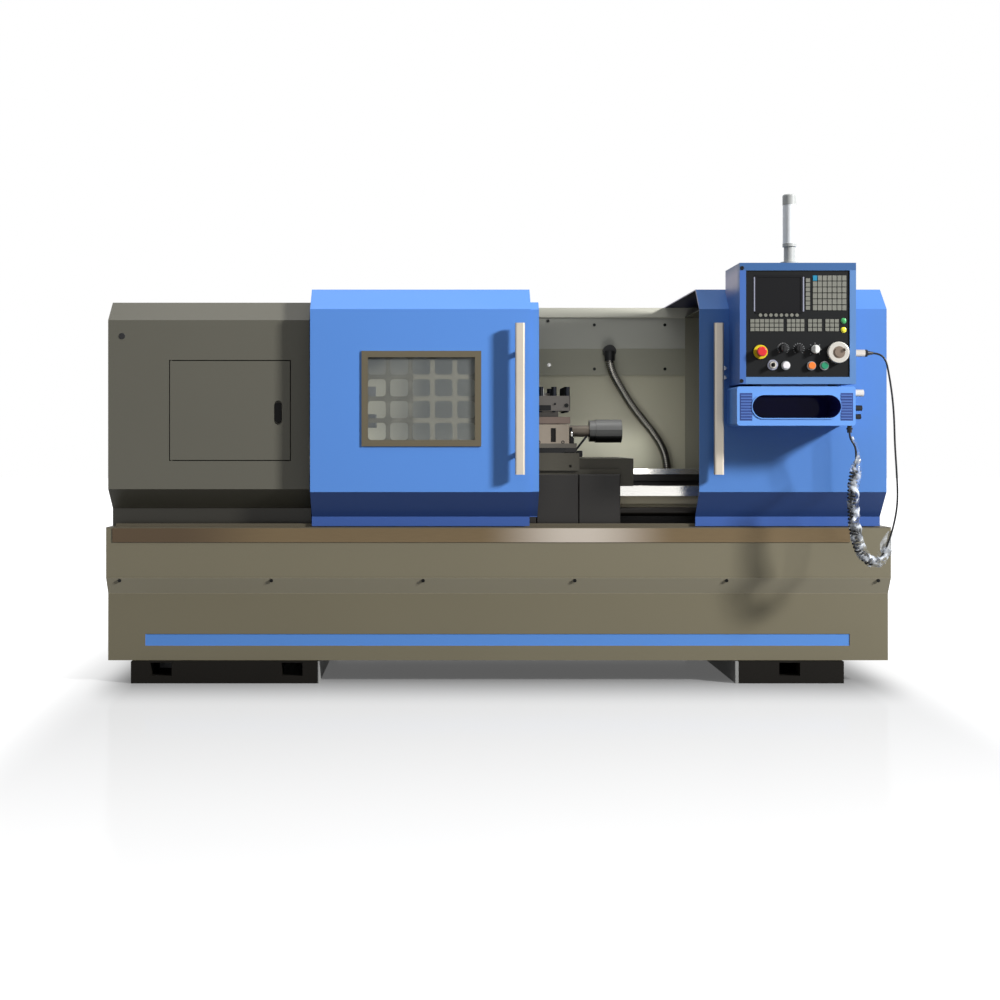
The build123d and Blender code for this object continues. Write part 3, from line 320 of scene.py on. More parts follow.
# The painted glow rises from a painted shadow at the base, beside its ends and far out, each over a
# width in metres.
strength = FLOOR_GLOW
for distance, width, share in ((reach, 0.62, 0.45), (past_side, 0.5, 0.42), (reach, 4.5, 0.42)):
    strength = math_node(tree, "ADD", ramp_node(tree, distance, 0.0, width, high=share), strength)
glow = tree.nodes.new("ShaderNodeEmission")
tree.links.new(strength, glow.inputs["Strength"])
lit = tree.nodes.new("ShaderNodeAddShader")
tree.links.new(matt.outputs[0], lit.inputs[0])
tree.links.new(glow.outputs[0], lit.inputs[1])
in_view = math_node(tree, "MAXIMUM", rays.outputs["Is Camera Ray"], rays.outputs["Is Glossy Ray"])
seen = mix_shaders(tree, in_view, bounce.outputs[0], lit.outputs[0])
surface = mix_shaders(tree, FLOOR_POLISH, seen, polish.outputs[0])
tree.links.new(surface, tree.nodes["Material Output"].inputs["Surface"])
floor.data.materials.append(floor_finish)

world = bpy.data.worlds.new("studio")
scene.world = world
world.use_nodes = True
sky = world.node_tree
sky_light = sky.nodes["Background"]
sky_light.inputs["Color"].default_value = SKY_TINT
# Dim at the horizon and brighter overhead.
sky_height = place_parts(sky, "Generated")["Z"]
sky_strength = ramp_node(sky, sky_height, -0.1, 0.6, low=0.12, high=0.36)
sky.links.new(sky_strength, sky_light.inputs["Strength"])
sky_white = sky.nodes.new("ShaderNodeBackground")
sky_white.inputs["Color"].default_value = (1, 1, 1, 1)
sky_rays = sky.nodes.new("ShaderNodeLightPath")
shown = math_node(sky, "MAXIMUM", sky_rays.outputs["Is Camera Ray"], math_node(
    sky, "MAXIMUM", sky_rays.outputs["Is Transmission Ray"], sky_rays.outputs["Is Glossy Ray"]))
sky_seen = mix_shaders(sky, shown, sky_light.outputs[0], sky_white.outputs[0])
sky.links.new(sky_seen, sky.nodes["World Output"].inputs["Surface"])


def area_lamp(name, place, aim, wide, tall, power, shown=True):
    """Rectangular lamp turned toward a point, its sizes in metres and its power in watts."""
    data = bpy.data.lights.new(name, "AREA")
    data.shape = "RECTANGLE"
    data.size = wide
    data.size_y = tall
    data.energy = power
    lamp = bpy.data.objects.new(name, data)
    lamp.location = place
    lamp.rotation_euler = (Vector(aim) - Vector(place)).to_track_quat("-Z", "Y").to_euler()
    lamp.visible_camera = shown
    scene.collection.objects.link(lamp)


area_lamp("key_lamp", (10.5, -6.6, 6.3), (0, -0.4, 0.9), 1.6, 1.6, 2850)
area_lamp("overhead_lamp", (-0.8, -1.2, 5.2), (-0.3, -0.2, 0.8), 4.0, 2.5, 60)
area_lamp("work_lamp", (0.55, -0.30, 0.98), (0.50, 0.17, 1.08), 0.3, 0.3, 1.0, shown=False)
board = stage_piece("light_flag", [(0.80, -0.62, 1.585), (0.80, 0.13, 1.580), (0.80, -0.62, 2.11)])
board.visible_camera = board.visible_diffuse = board.visible_glossy = board.visible_transmission = False
scene.view_settings.view_transform = "Standard"


# Powder-coated sheet of the base. The tray and the skirts are folded steel with a fine
# orange-peel coat in warm grey, darker on the tray's deck, with a blue band in the skirt
# and painted light on the skirts' sloping front band.
FINE_SHARE = 0.35
# Indices of the mix node's two inputs and its result, by its kind of value.
MIX_SOCKETS = {"RGBA": (6, 7, 2), "FLOAT": (2, 3, 0)}


def skin_group(name, big, small, stretch=(1, 1, 1), detail=3.0):
    """Group of two noises: broad blotches for colour and gloss, fine ones for relief."""
    group = bpy.data.node_groups.new(name, "ShaderNodeTree")
    face = group.interface
    for label, kind in (("Colour", "NodeSocketColor"), ("Variation", "NodeSocketFloat"),
                        ("Roughness", "NodeSocketFloat"), ("Gloss change", "NodeSocketFloat")):
        face.new_socket(label, in_out="INPUT", socket_type=kind)
    for label, kind in (("Colour", "NodeSocketColor"), ("Roughness", "NodeSocketFloat"),
                        ("Height", "NodeSocketFloat")):
        face.new_socket(label, in_out="OUTPUT", socket_type=kind)
    nodes, link = group.nodes, group.links.new
    entry = nodes.new("NodeGroupInput")
    leave = nodes.new("NodeGroupOutput")
    place = nodes.new("ShaderNodeTexCoord")
    scale = nodes.new("ShaderNodeMapping")
    scale.inputs["Scale"].default_value = stretch
    link(place.outputs["Object"], scale.inputs["Vector"])
    noises = []
    for size, octaves in ((big, 4), (small, detail)):
        texture = nodes.new("ShaderNodeTexNoise")
        texture.inputs["Scale"].default_value = size
        texture.inputs["Detail"].default_value = octaves
        link(scale.outputs[0], texture.inputs["Vector"])
        noises.append(texture.outputs["Fac"])
    broad, fine = noises
    mixed = math_node(group, "MULTIPLY_ADD", fine, FINE_SHARE, broad)
    centred = math_node(group, "SUBTRACT", mixed, (1 + FINE_SHARE) / 2)
    swing = math_node(group, "MULTIPLY_ADD", centred, entry.outputs["Variation"], 1.0)
    tint = nodes.new("ShaderNodeVectorMath")
    tint.operation = "SCALE"
    link(entry.outputs["Colour"], tint.inputs[0])
    link(swing, tint.inputs["Scale"])
    link(tint.outputs[0], leave.inputs["Colour"])
    gloss = math_node(group, "MULTIPLY_ADD", centred, entry.outputs["Gloss change"],
                      entry.outputs["Roughness"])
    link(gloss, leave.inputs["Roughness"])
    link(fine, leave.inputs["Height"])
    return group


def finish(name, group, colour, roughness, variation=0.2, gloss_change=0.15, relief=0.2, depth=0.0004,
           metal=0.0, coat=0.0, shine=0.3):
    """Material on the skin of a group, with its own colour, gloss and relief."""
    material = bpy.data.materials.new(name)
    material.use_nodes = True
    tree = material.node_tree
    shader = tree.nodes["Principled BSDF"]
    skin = tree.nodes.new("ShaderNodeGroup")
    skin.node_tree = group
    skin.name = "skin"
    skin.inputs["Colour"].default_value = colour
    skin.inputs["Variation"].default_value = variation
    skin.inputs["Roughness"].default_value = roughness
    skin.inputs["Gloss change"].default_value = gloss_change
    relief_node = tree.nodes.new("ShaderNodeBump")
    relief_node.inputs["Strength"].default_value = relief
    relief_node.inputs["Distance"].default_value = depth
    tree.links.new(skin.outputs["Colour"], shader.inputs["Base Color"])
    tree.links.new(skin.outputs["Roughness"], shader.inputs["Roughness"])
    tree.links.new(skin.outputs["Height"], relief_node.inputs["Height"])
    tree.links.new(relief_node.outputs["Normal"], shader.inputs["Normal"])
    shader.inputs["Metallic"].default_value = metal
    shader.inputs["Coat Weight"].default_value = coat
    shader.inputs["Specular IOR Level"].default_value = shine
    return material


def blend_in(material, mask, colour, metal=None, rough=None):
    """Another colour, and where given another metal share and gloss, where a mask is 1."""
    tree = material.node_tree
    shader = tree.nodes["Principled BSDF"]
    for label, value in (("Base Color", colour), ("Metallic", metal), ("Roughness", rough)):
        if value is None:
            continue
        socket = shader.inputs[label]
        mix = tree.nodes.new("ShaderNodeMix")
        mix.data_type = "RGBA" if label == "Base Color" else "FLOAT"
        first, second, result = MIX_SOCKETS[mix.data_type]
        mix.inputs[second].default_value = value
        tree.links.new(mask, mix.inputs[0])
        if socket.links:
            tree.links.new(socket.links[0].from_socket, mix.inputs[first])
        else:
            mix.inputs[first].default_value = socket.default_value
        tree.links.new(mix.outputs[result], socket)


def paint_by_place(material, low, high, colour, metal=None, rough=None, fade=0):
    """Paints a box given by its corners in metres, None for no limit, and may fade its edges inward."""
    tree = material.node_tree
    parts = place_parts(tree)
    mask = 1.0
    for axis in range(3):
        for limit, test, side in ((low[axis], "GREATER_THAN", 1), (high[axis], "LESS_THAN", -1)):
            if limit is None:
                continue
            if fade:
                step = ramp_node(tree, parts[axis], limit, limit + side * fade)
            else:
                step = math_node(tree, test, parts[axis], limit)
            mask = math_node(tree, "MULTIPLY", step, mask)
    blend_in(material, mask, colour, metal, rough)


def paint_round(material, centre, radius, colour, metal=None, rough=None):
    """Paints a round spot on a front face, its centre given as X and Z in metres."""
    tree = material.node_tree
    parts = place_parts(tree)
    across = math_node(tree, "SUBTRACT", parts[0], centre[0])
    up = math_node(tree, "SUBTRACT", parts[2], centre[1])
    square = math_node(tree, "ADD", math_node(tree, "MULTIPLY", across, across),
                       math_node(tree, "MULTIPLY", up, up))
    blend_in(material, math_node(tree, "LESS_THAN", square, radius ** 2), colour, metal, rough)


def dress(material, *nodes):
    """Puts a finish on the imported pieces."""
    for node in nodes:
        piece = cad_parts[node]
        piece.data.materials.clear()
        piece.data.materials.append(material)


paint_skin = skin_group("paint_skin", 1.6, 420)
base_paint = finish("base_coat", paint_skin, tone(116, 110, 91), 0.42, variation=0.10, relief=0.25)
paint_by_place(base_paint, (None, None, 0.6255), (None, None, None), tone(84, 78, 64))
dress(base_paint, "chip_tray")
skirt_paint = finish("skirt_coat", paint_skin, tone(111, 105, 86), 0.42, variation=0.10, relief=0.25)
paint_by_place(skirt_paint, (-1.421, -0.5515, 0.149), (1.417, -0.40, 0.198), tone(86, 136, 206))
# Painted light: the sloping band along the skirts' front is lighter than the rest.
paint_by_place(skirt_paint, (-1.5685, None, 0.3605), (1.5685, -0.5, 0.4265), tone(165, 158, 137))
dress(skirt_paint, "skirts")


# Trim strip of the tray. A thin stainless strip is riveted along the front edge,
# brushed lengthways and slightly brown from oil, with a painted reflection across its middle
# and painted shade at its left end.
brush_skin = skin_group("brush_skin", 3.0, 260, stretch=(0.06, 1, 1), detail=2.0)
trim_metal = finish("trim_steel", brush_skin, tone(108, 92, 68), 0.36, variation=0.5, relief=0.1,
                    metal=0.6)
# Painted reflection: a pale stretch fading in across the middle of the strip.
paint_by_place(trim_metal, (-0.08, None, None), (0.72, None, None), tone(184, 174, 162), fade=0.38)
# Painted shade: the strip darkens toward its left end.
paint_by_place(trim_metal, (None, None, None), (-0.85, None, None), tone(82, 68, 52), fade=0.45)
dress(trim_metal, "tray_trim")


# Cast pedestals, bed, headstock and tailstock. They are grey iron with a rough painted
# skin, lighter on the pedestals' sloping inner sides, and the bed's ways are ground bright.
WAY_START = -0.765
cast_skin = skin_group("cast_skin", 5.0, 160, detail=6.0)
leg_paint = finish("leg_coat", cast_skin, tone(22, 20, 17), 0.6, variation=0.3, relief=0.5, depth=0.001,
                   shine=0.1)
for left, right in ((-0.7245, 0.0), (0.0, 0.9655)):
    paint_by_place(leg_paint, (left, None, None), (right, None, None), tone(140, 140, 138), rough=0.4)
dress(leg_paint, "pedestals")
cast_paint = finish("cast_coat", cast_skin, tone(52, 48, 44), 0.6, variation=0.3, relief=0.5,
                    depth=0.001)
dress(cast_paint, "headstock", "tailstock")
bed_paint = finish("bed_coat", cast_skin, tone(22, 20, 19), 0.5, variation=0.3, relief=0.4, depth=0.0008)
for low, high in (((-0.4455, 0.7485), (-0.340, 0.795)), ((-0.0905, 0.8292), (0.015, 0.860))):
    paint_by_place(bed_paint, (WAY_START, *low), (None, *high), tone(240, 238, 232), metal=0.85,
                   rough=0.16)
paint_by_place(bed_paint, (WAY_START, -0.43, 0.700), (None, -0.345, 0.7484), tone(230, 218, 186),
               rough=0.35)
dress(bed_paint, "bed")


# Saddle and cross slide with their front plates. Painted iron bolted together, with painted
# shade, black, on the saddle's upper left part and the cross slide's lower edge, at the gap between
# them.
saddle_paint = finish("saddle_coat", cast_skin, tone(70, 67, 58), 0.5, variation=0.25, relief=0.35,
                      depth=0.0006)
# Painted shade: the saddle's upper left part is black, as the gap under the cross slide.
paint_by_place(saddle_paint, (None, None, 0.9255), (0.343, None, None), tone(5, 5, 5))
dress(saddle_paint, "saddle")
slide_paint = finish("slide_coat", cast_skin, tone(96, 92, 84), 0.45, variation=0.2, relief=0.2,
                     depth=0.0004)
# Painted shade: the cross slide's lower edge is black, as the gap above the saddle.
paint_by_place(slide_paint, (None, None, None), (None, None, 0.946), tone(24, 23, 22))
dress(slide_paint, "cross_slide")
apron_paint = finish("apron_coat", paint_skin, tone(34, 32, 30), 0.42, variation=0.15, relief=0.25)
dress(apron_paint, "apron_plates")


# Motors, turned shafts and the screws. Cast aluminium cases, bright ground steel,
# and a Z screw painted dark as shade, where it lies in the shadow under the front way.
motor_finish = finish("motor_case", cast_skin, tone(120, 121, 122), 0.45, metal=0.6, relief=0.3)
dress(motor_finish, "drive_motors")
ground_skin = skin_group("ground_skin", 8.0, 500, stretch=(1, 0.15, 1), detail=2.0)
ground_metal = finish("ground_steel", ground_skin, tone(200, 200, 198), 0.25, variation=0.2,
                      relief=0.08, metal=1.0)
dress(ground_metal, "spindle", "x_screw", "quill", "motor_pulley")
# Painted shade: the Z screw is dark like the shadow under the front way.
shade_dark_screw_metal = finish("shade_dark_screw", ground_skin, tone(34, 30, 26), 0.35, variation=0.3, metal=0.3)
dress(shade_dark_screw_metal, "z_screw")


# Turret with its base and indexing motor, chuck and clamp bolts. The base is light
# machined iron with painted shade in the slot in its front, its motor a grey case that darkens
# downward, and the tool head, the chuck and the jaws are worn steel.
MOTOR_LEFT = 0.386
turret_metal = finish("turret_base_steel", ground_skin, tone(150, 139, 125), 0.42, variation=0.25,
                      metal=0.25)
# Painted shade in the slot in the base's front.
paint_by_place(turret_metal, (0.2185, None, 0.9695), (0.2395, -0.463, 1.0265), tone(30, 27, 25))
paint_by_place(turret_metal, (0.296, -0.50, 0.96), (0.3165, -0.39, 1.035), tone(22, 22, 22))
for top, colour, metal, rough in ((None, tone(132, 132, 130), 0.5, 0.36),
                                  (1.020, tone(88, 88, 86), 0.5, 0.36),
                                  (0.994, tone(14, 14, 13), 0.0, None)):
    paint_by_place(turret_metal, (MOTOR_LEFT, None, None), (None, None, top), colour, metal=metal,
                   rough=rough)
dress(turret_metal, "turret_base")
head_metal = finish("turret_head_steel", ground_skin, tone(98, 94, 90), 0.36, variation=0.4, metal=0.6)
paint_by_place(head_metal, (None, None, None), (None, None, 1.072), tone(112, 98, 90))
dress(head_metal, "turret_head")
chuck_metal = finish("chuck_steel", ground_skin, tone(120, 120, 120), 0.3, variation=0.3, metal=0.8)
dress(chuck_metal, "chuck_body", "jaw_a", "jaw_b", "jaw_c")
bolt_metal = finish("bolt_steel", ground_skin, tone(32, 34, 40), 0.3, variation=0.4, metal=0.6)
dress(bolt_metal, "clamp_bolts")


# Lubrication fitting and clamp lever beside the turret, with the cap screws round it.
# Small turned and bent black steel parts bolted to the cross slide, in millimetres.
SHARP_FROM = 35
FORWARD = (0, -1, 0)
CAP_SCREW = [(0, 5.2), (6, 6.6), (7, 7.4), (13, 7.4), (14.5, 6.6), (14.6, 3.6), (9, 3.2)]


def new_piece(name, verts, faces, material, body):
    """Mesh piece with smooth faces and sharp edges that moves with a body."""
    mesh = bpy.data.meshes.new(name)
    mesh.from_pydata([Vector(v) / 1000 for v in verts], [], faces)
    mesh.polygons.foreach_set("use_smooth", [True] * len(mesh.polygons))
    mesh.set_sharp_from_angle(angle=radians(SHARP_FROM))
    mesh.materials.append(material)
    piece = bpy.data.objects.new(name, mesh)
    scene.collection.objects.link(piece)
    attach(piece, body)
    return piece


def turned_piece(name, profile, start, toward, material, body, sides=40, ring=False):
    """Turned part: (distance, radius) pairs in millimetres along a line, closed to a ring if asked."""
    ahead = Vector(toward).normalized()
    across = ahead.orthogonal().normalized()
    other = ahead.cross(across)
    verts, faces = [], []
    for distance, radius in profile:
        for step in range(sides):
            angle = tau * step / sides
            spoke = across * cos(angle) + other * sin(angle)
            verts.append(Vector(start) + ahead * distance + spoke * radius)
    last = (len(profile) - 1) * sides
    for low in range(0, last + sides if ring else last, sides):
        high = (low + sides) % len(verts)
        for step in range(sides):
            after = (step + 1) % sides
            faces.append((low + step, low + after, high + after, high + step))
    if not ring:
        faces += [tuple(reversed(range(sides))), tuple(range(last, last + sides))]
    return new_piece(name, verts, faces, material, body)


def cut_piece(name, outline, front, back, material, body, ease=0.8):
    """Plate cut to an outline of X and Z pairs in millimetres, its edges eased."""
    shape = bmesh.new()
    face = shape.faces.new([shape.verts.new((x, front, z)) for x, z in outline])
    pulled = bmesh.ops.extrude_face_region(shape, geom=[face])["geom"]
    bmesh.ops.translate(shape, verts=[v for v in pulled if isinstance(v, bmesh.types.BMVert)],
                        vec=(0, back - front, 0))
    bmesh.ops.bevel(shape, geom=shape.edges[:], offset=ease, segments=2, affect="EDGES")
    bmesh.ops.recalc_face_normals(shape, faces=shape.faces[:])
    verts = [v.co.copy() for v in shape.verts]
    faces = [[v.index for v in f.verts] for f in shape.faces]
    shape.free()
    return new_piece(name, verts, faces, material, body)


def rectangle(left, right, bottom, top):
    """Outline of an upright rectangle."""
    return [(left, bottom), (right, bottom), (right, top), (left, top)]


grain_skin = skin_group("grain_skin", 6.0, 900, detail=2.0)
black_plastic = finish("black_plastic", grain_skin, tone(26, 26, 27), 0.42, variation=0.15, relief=0.2)
black_steel = finish("black_steel", ground_skin, tone(20, 20, 22), 0.4, variation=0.3, metal=0.3)
cut_piece("lever_block", rectangle(300, 317, 908, 990), -440, -405, black_steel,
          "cross_slide", 2)
turned_piece("lever_knob", [(0, 5), (2, 6.5), (4, 7.2), (16, 7.2), (20, 6.4), (24, 4)],
             (308.5, -422, 990), (0, 0, 1), ground_metal, "cross_slide")
cut_piece("lever_bar", [(311, 925), (321, 925), (374, 992), (368, 998)], -436, -424, black_steel,
          "cross_slide", 1.5)
cut_piece("lever_foot", rectangle(326, 352, 908, 934), -440, -412, black_steel,
          "cross_slide", 2)
for number, at in enumerate((170, 268)):
    turned_piece(f"base_screw_{number}", CAP_SCREW, (at, -462, 969), FORWARD, black_steel,
                 "cross_slide")
turned_piece("oil_nipple", [(0, 6), (3, 6), (3.5, 3.6), (8, 3.4), (9, 4.6), (12, 4.4), (14, 2.2)],
             (183, -463, 881), FORWARD, ground_metal, "saddle")


# Tool holder in the turret. Light ground square shank between the clamp screws, held by
# a black shoe, with black set screws whose ends show above it.
HEAD_FRONT = -479.5
for number, (x, z, radius) in enumerate(((235.5, 1125, 4.5), (282, 1119, 8.5))):
    profile = [(0, radius - 1), (1, radius), (4, radius), (5, radius - 1), (5.1, radius / 2),
               (2, radius / 2.4)]
    turned_piece(f"set_screw_{number}", profile, (x, HEAD_FRONT, z), FORWARD, black_steel,
                 "turret")
cut_piece("clamp_shoe", rectangle(166, 219, 1099, 1120), -484, HEAD_FRONT, black_steel,
          "turret", 1.2)
cut_piece("tool_holder", rectangle(168, 190, 1158.5, 1189), -470, -452, ground_metal,
          "turret", 1.2)


# Drive belt, glands, small black knobs and the two cords. Fine-grained moulded plastic
# and rubber, turned bright plugs on the panel cord's ends, and ribbed steel hose.
dress(black_plastic, "drive_belt", "hose_glands", "tail_wheel", "feed_dial", "speed_dial")
latch_plastic = finish("latch_plastic", grain_skin, tone(6, 6, 6), 0.6, variation=0.15, relief=0.2,
                       shine=0.1)
dress(latch_plastic, "access_latch")
cord_rubber = finish("cord_sheath", grain_skin, tone(22, 22, 24), 0.35, variation=0.2, relief=0.15)
panel_cord.data.materials.append(cord_rubber)
fitting_finish = finish("cord_fittings", grain_skin, tone(22, 22, 24), 0.35, variation=0.2, relief=0.15)
paint_by_place(fitting_finish, (1.3555, None, 1.28), (1.403, None, 1.34), tone(205, 198, 190),
               metal=0.7, rough=0.3)
paint_by_place(fitting_finish, (1.364, None, 1.13), (1.42, None, 1.18), tone(214, 210, 204), metal=0.5,
               rough=0.3)
dress(fitting_finish, "cord_fittings")
hose_finish = finish("hose_metal", ground_skin, tone(120, 118, 112), 0.22, variation=0.3, metal=0.9)
hose.data.materials.append(hose_finish)


# Grey covers over the headstock and the belt, with the inset access door. The same
# folded sheet as the base, in a darker olive grey, with painted shade on the foot under the overhang.
cover_paint = finish("cover_coat", paint_skin, tone(94, 92, 82), 0.40, variation=0.10, relief=0.25)
# Painted shade on the covers' foot, below the overhang of the sloping front.
paint_by_place(cover_paint, (None, None, None), (None, None, 0.70), tone(44, 42, 36))
dress(cover_paint, "headstock_cover", "access_door")
tail_paint = finish("tail_cover_coat", paint_skin, tone(94, 92, 82), 0.40, variation=0.10, relief=0.25)
paint_by_place(tail_paint, (None, 0.155, None), (None, None, 1.53), tone(135, 133, 118))
dress(tail_paint, "tail_cover")
turned_piece("cover_plug", [(0, 12.5), (1.2, 12.5), (2.2, 11.5), (2.6, 8)], (-1509, -575, 1395),
             FORWARD, black_plastic, "machine")


# Rear wall, top rail and the electrical cabinet. Cream-grey sheet, with painted shade on the wall
# between the hoods and painted light on its rail and foot, fixed with small black screws and one nut.
wall_paint = finish("wall_coat", paint_skin, tone(176, 173, 152), 0.42, variation=0.12, relief=0.25)
# Painted light: a pale pool over the wall's lower left, fading at its edges.
paint_by_place(wall_paint, (None, None, None), (0.80, None, 1.09), tone(236, 234, 208), fade=0.14)
# Painted shade on the wall's bands between the hoods, darkest on the recessed step.
paint_by_place(wall_paint, (None, None, 1.391), (None, None, 1.5305), tone(172, 172, 162))
paint_by_place(wall_paint, (None, None, 1.2705), (None, None, 1.391), tone(148, 147, 132))
# Painted light: the top rail made lighter than the wall below it.
paint_by_place(wall_paint, (None, None, 1.5305), (None, None, None), tone(196, 195, 181))
dress(wall_paint, "rear_wall")
cream_paint = finish("cream_coat", paint_skin, tone(176, 174, 158), 0.42, variation=0.12, relief=0.25)
dress(cream_paint, "electrical_cabinet", "cabinet_door")
screw_metal = finish("screw_steel", ground_skin, tone(40, 40, 40), 0.35, metal=0.8)
dress(screw_metal, "panel_screws")
turned_piece("wall_nut", [(0, 9), (1.5, 9), (1.6, 6.6), (6, 6.6), (7, 6), (7.2, 3.2), (10, 3)],
             (265, 171, 1318), FORWARD, ground_metal, "machine", sides=6)


# Blue hoods with their handles, the control box and the lower box. Folded sheet with a
# smooth semi-gloss coat, with painted shade in a band at the foot, on the right hood, under its
# roof and on the boxes, painted highlights on an edge and a side, and screwed-on handle bars of brushed
# light metal.
BAND_TOP = 0.7715
blue_paint = finish("blue_coat", paint_skin, tone(88, 140, 216), 0.42, variation=0.06, relief=0.15,
                    coat=0.05)
# Painted shade in the band at the left hood's foot.
paint_by_place(blue_paint, (None, None, None), (None, None, BAND_TOP), tone(54, 86, 152))
dress(blue_paint, "left_hood")
# The right hood's coat is the blue coat made darker, as painted shade.
right_paint = finish("right_hood_coat", paint_skin, tone(80, 127, 195), 0.42, variation=0.06,
                     relief=0.15, coat=0.05)
# Painted shade in the band at the right hood's foot.
paint_by_place(right_paint, (None, None, None), (None, None, BAND_TOP), tone(56, 90, 158))
# Painted shade under the right hood's roof.
paint_by_place(right_paint, (None, -0.56, 1.50), (None, 0.24, 1.5815), tone(14, 20, 66))
# Painted highlight on the lit left edge of the right hood's roof.
paint_by_place(right_paint, (None, -0.63, 1.50), (0.7945, None, None), tone(178, 174, 196))
dress(right_paint, "right_hood")
box_paint = finish("control_box_coat", paint_skin, tone(90, 130, 184), 0.42, variation=0.06, relief=0.15)
# Painted shade: the control box's top strip and its left strip are darker.
paint_by_place(box_paint, (None, None, 1.6275), (None, None, None), tone(58, 96, 146))
paint_by_place(box_paint, (None, None, None), (0.9345, None, 1.6275), tone(66, 104, 172))
# Painted reflection: a pale lilac sheen on the box's left side, fading at its edges.
paint_by_place(box_paint, (None, -0.838, 1.53), (0.99, None, 1.672), tone(186, 182, 206), fade=0.06)
dress(box_paint, "control_box")
lower_paint = finish("lower_box_coat", paint_skin, tone(104, 156, 230), 0.42, variation=0.06,
                     relief=0.15, coat=0.15)
# Painted shade in the vents: dark behind the bars, the bars' fronts lighter but still shaded.
for left, right in ((0.912, 0.960), (1.298, 1.346)):
    for depth, colour in ((-0.83, tone(48, 72, 136)), (-0.8367, tone(78, 112, 182))):
        paint_by_place(lower_paint, (left, None, 1.052), (right, depth, 1.158), colour)
# Painted shade in the pocket between the vents.
paint_by_place(lower_paint, (0.955, -0.8335, 1.056), (1.305, -0.66, 1.156), tone(4, 9, 92), rough=0.9)
dress(lower_paint, "lower_box")
handle_metal = finish("handle_metal", brush_skin, tone(204, 194, 178), 0.36, variation=0.15, metal=0.5)
paint_by_place(handle_metal, (None, -0.6745, None), (None, None, None), tone(40, 42, 50))
dress(handle_metal, "left_handle", "right_handle")


# Window of the left hood. A tan frame holds a clear pane in front of a punched
# guard grille of grey-beige sheet.
PANE_ALPHA = 0.09
frame_paint = finish("frame_coat", paint_skin, tone(100, 92, 74), 0.4, variation=0.12)
paint_by_place(frame_paint, (-0.519, None, 0.979), (-0.097, None, 1.305), tone(120, 118, 106))
dress(frame_paint, "window_frame")
pane_finish = finish("window_glass", grain_skin, tone(215, 222, 222), 0.05, variation=0.0, relief=0.0)
pane_finish.node_tree.nodes["Principled BSDF"].inputs["Alpha"].default_value = PANE_ALPHA
dress(pane_finish, "window_pane")


# Control panel. A matt black printed plate with a screen between two thin silver
# strips, membrane keys, and moulded or turned controls in coloured collars. The
# controls' places are X and Z in millimetres.
PANEL_FACE = -836
PROUD_OF_PANEL = -0.8365
COLLAR_HALF = 18
stop_at, feed_at, speed_at, mode_at = (991, 1315), (1078, 1328), (1138, 1327), (1200, 1325)
key_at, white_at, orange_at, green_at = (1038, 1265), (1087, 1263), (1185, 1262), (1234, 1262)
wheel_at = (1283.5, 1312)
panel_finish = finish("panel_print", grain_skin, tone(21, 22, 23), 0.6, variation=0.1, shine=0.12)
paint_by_place(panel_finish, (0.9630, -0.8415, 1.2870), (1.0190, PROUD_OF_PANEL, 1.3430),
               tone(214, 196, 40))
for x, z in (white_at, orange_at, green_at):
    paint_by_place(panel_finish, ((x - COLLAR_HALF) / 1000, None, (z - COLLAR_HALF) / 1000),
                   ((x + COLLAR_HALF) / 1000, PROUD_OF_PANEL, (z + COLLAR_HALF) / 1000),
                   tone(150, 152, 154), metal=0.8, rough=0.3)
dress(panel_finish, "panel_plate")
screen_finish = finish("screen_glass", grain_skin, tone(18, 18, 20), 0.6, variation=0.1, relief=0.0,
                       shine=0.1)
dress(screen_finish, "screen")
strip_metal = finish("strip_metal", ground_skin, tone(150, 152, 168), 0.35, metal=0.5)
for name, left in (("screen_strip_left", 965.5), ("screen_strip_right", 1153)):
    cut_piece(name, rectangle(left, left + 5, 1470, 1602), PANEL_FACE - 1.8, PANEL_FACE,
              strip_metal, "right_hood", 0.4)
key_finish = finish("key_film", grain_skin, tone(122, 122, 113), 0.5, variation=0.25)
paint_by_place(key_finish, (1.188, None, 1.585), (1.211, None, 1.612), tone(30, 130, 165))
dress(key_finish, "panel_keys")


def plastic(name, colour, rough=0.25):
    """Smooth moulded plastic in a plain colour."""
    return finish(name, grain_skin, colour, rough, variation=0.06, relief=0.05, coat=0.3)


for name, colour, at in (("signal_green", tone(60, 160, 90), (1309, 1434)),
                         ("signal_yellow", tone(232, 222, 50), (1309, 1399))):
    turned_piece(name, [(0, 11), (1.6, 11), (2.0, 10), (3.4, 8.6), (4.6, 5.5), (5.0, 2)],
                 (at[0], PANEL_FACE, at[1]), FORWARD, plastic(name, colour), "right_hood")


def scale_marks(name, centre, inner, outer, count, width, material):
    """Printed marks round a dial over three quarters of a turn."""
    verts, faces = [], []
    for number in range(count):
        angle = radians(-135 + 270 * number / (count - 1))
        along, beside = Vector((sin(angle), 0, cos(angle))), Vector((cos(angle), 0, -sin(angle)))
        for depth in (PANEL_FACE - 0.3, PANEL_FACE + 0.1):
            middle = Vector((centre[0], depth, centre[1]))
            for reach, side in ((inner, -1), (inner, 1), (outer, 1), (outer, -1)):
                verts.append(middle + along * reach + beside * side * width / 2)
        base = 8 * number
        faces += [(base, base + 1, base + 2, base + 3), (base + 7, base + 6, base + 5, base + 4)]
        faces += [(base + a, base + a + 4, base + (a + 1) % 4 + 4, base + (a + 1) % 4) for a in range(4)]
    return new_piece(name, verts, faces, material, "right_hood")


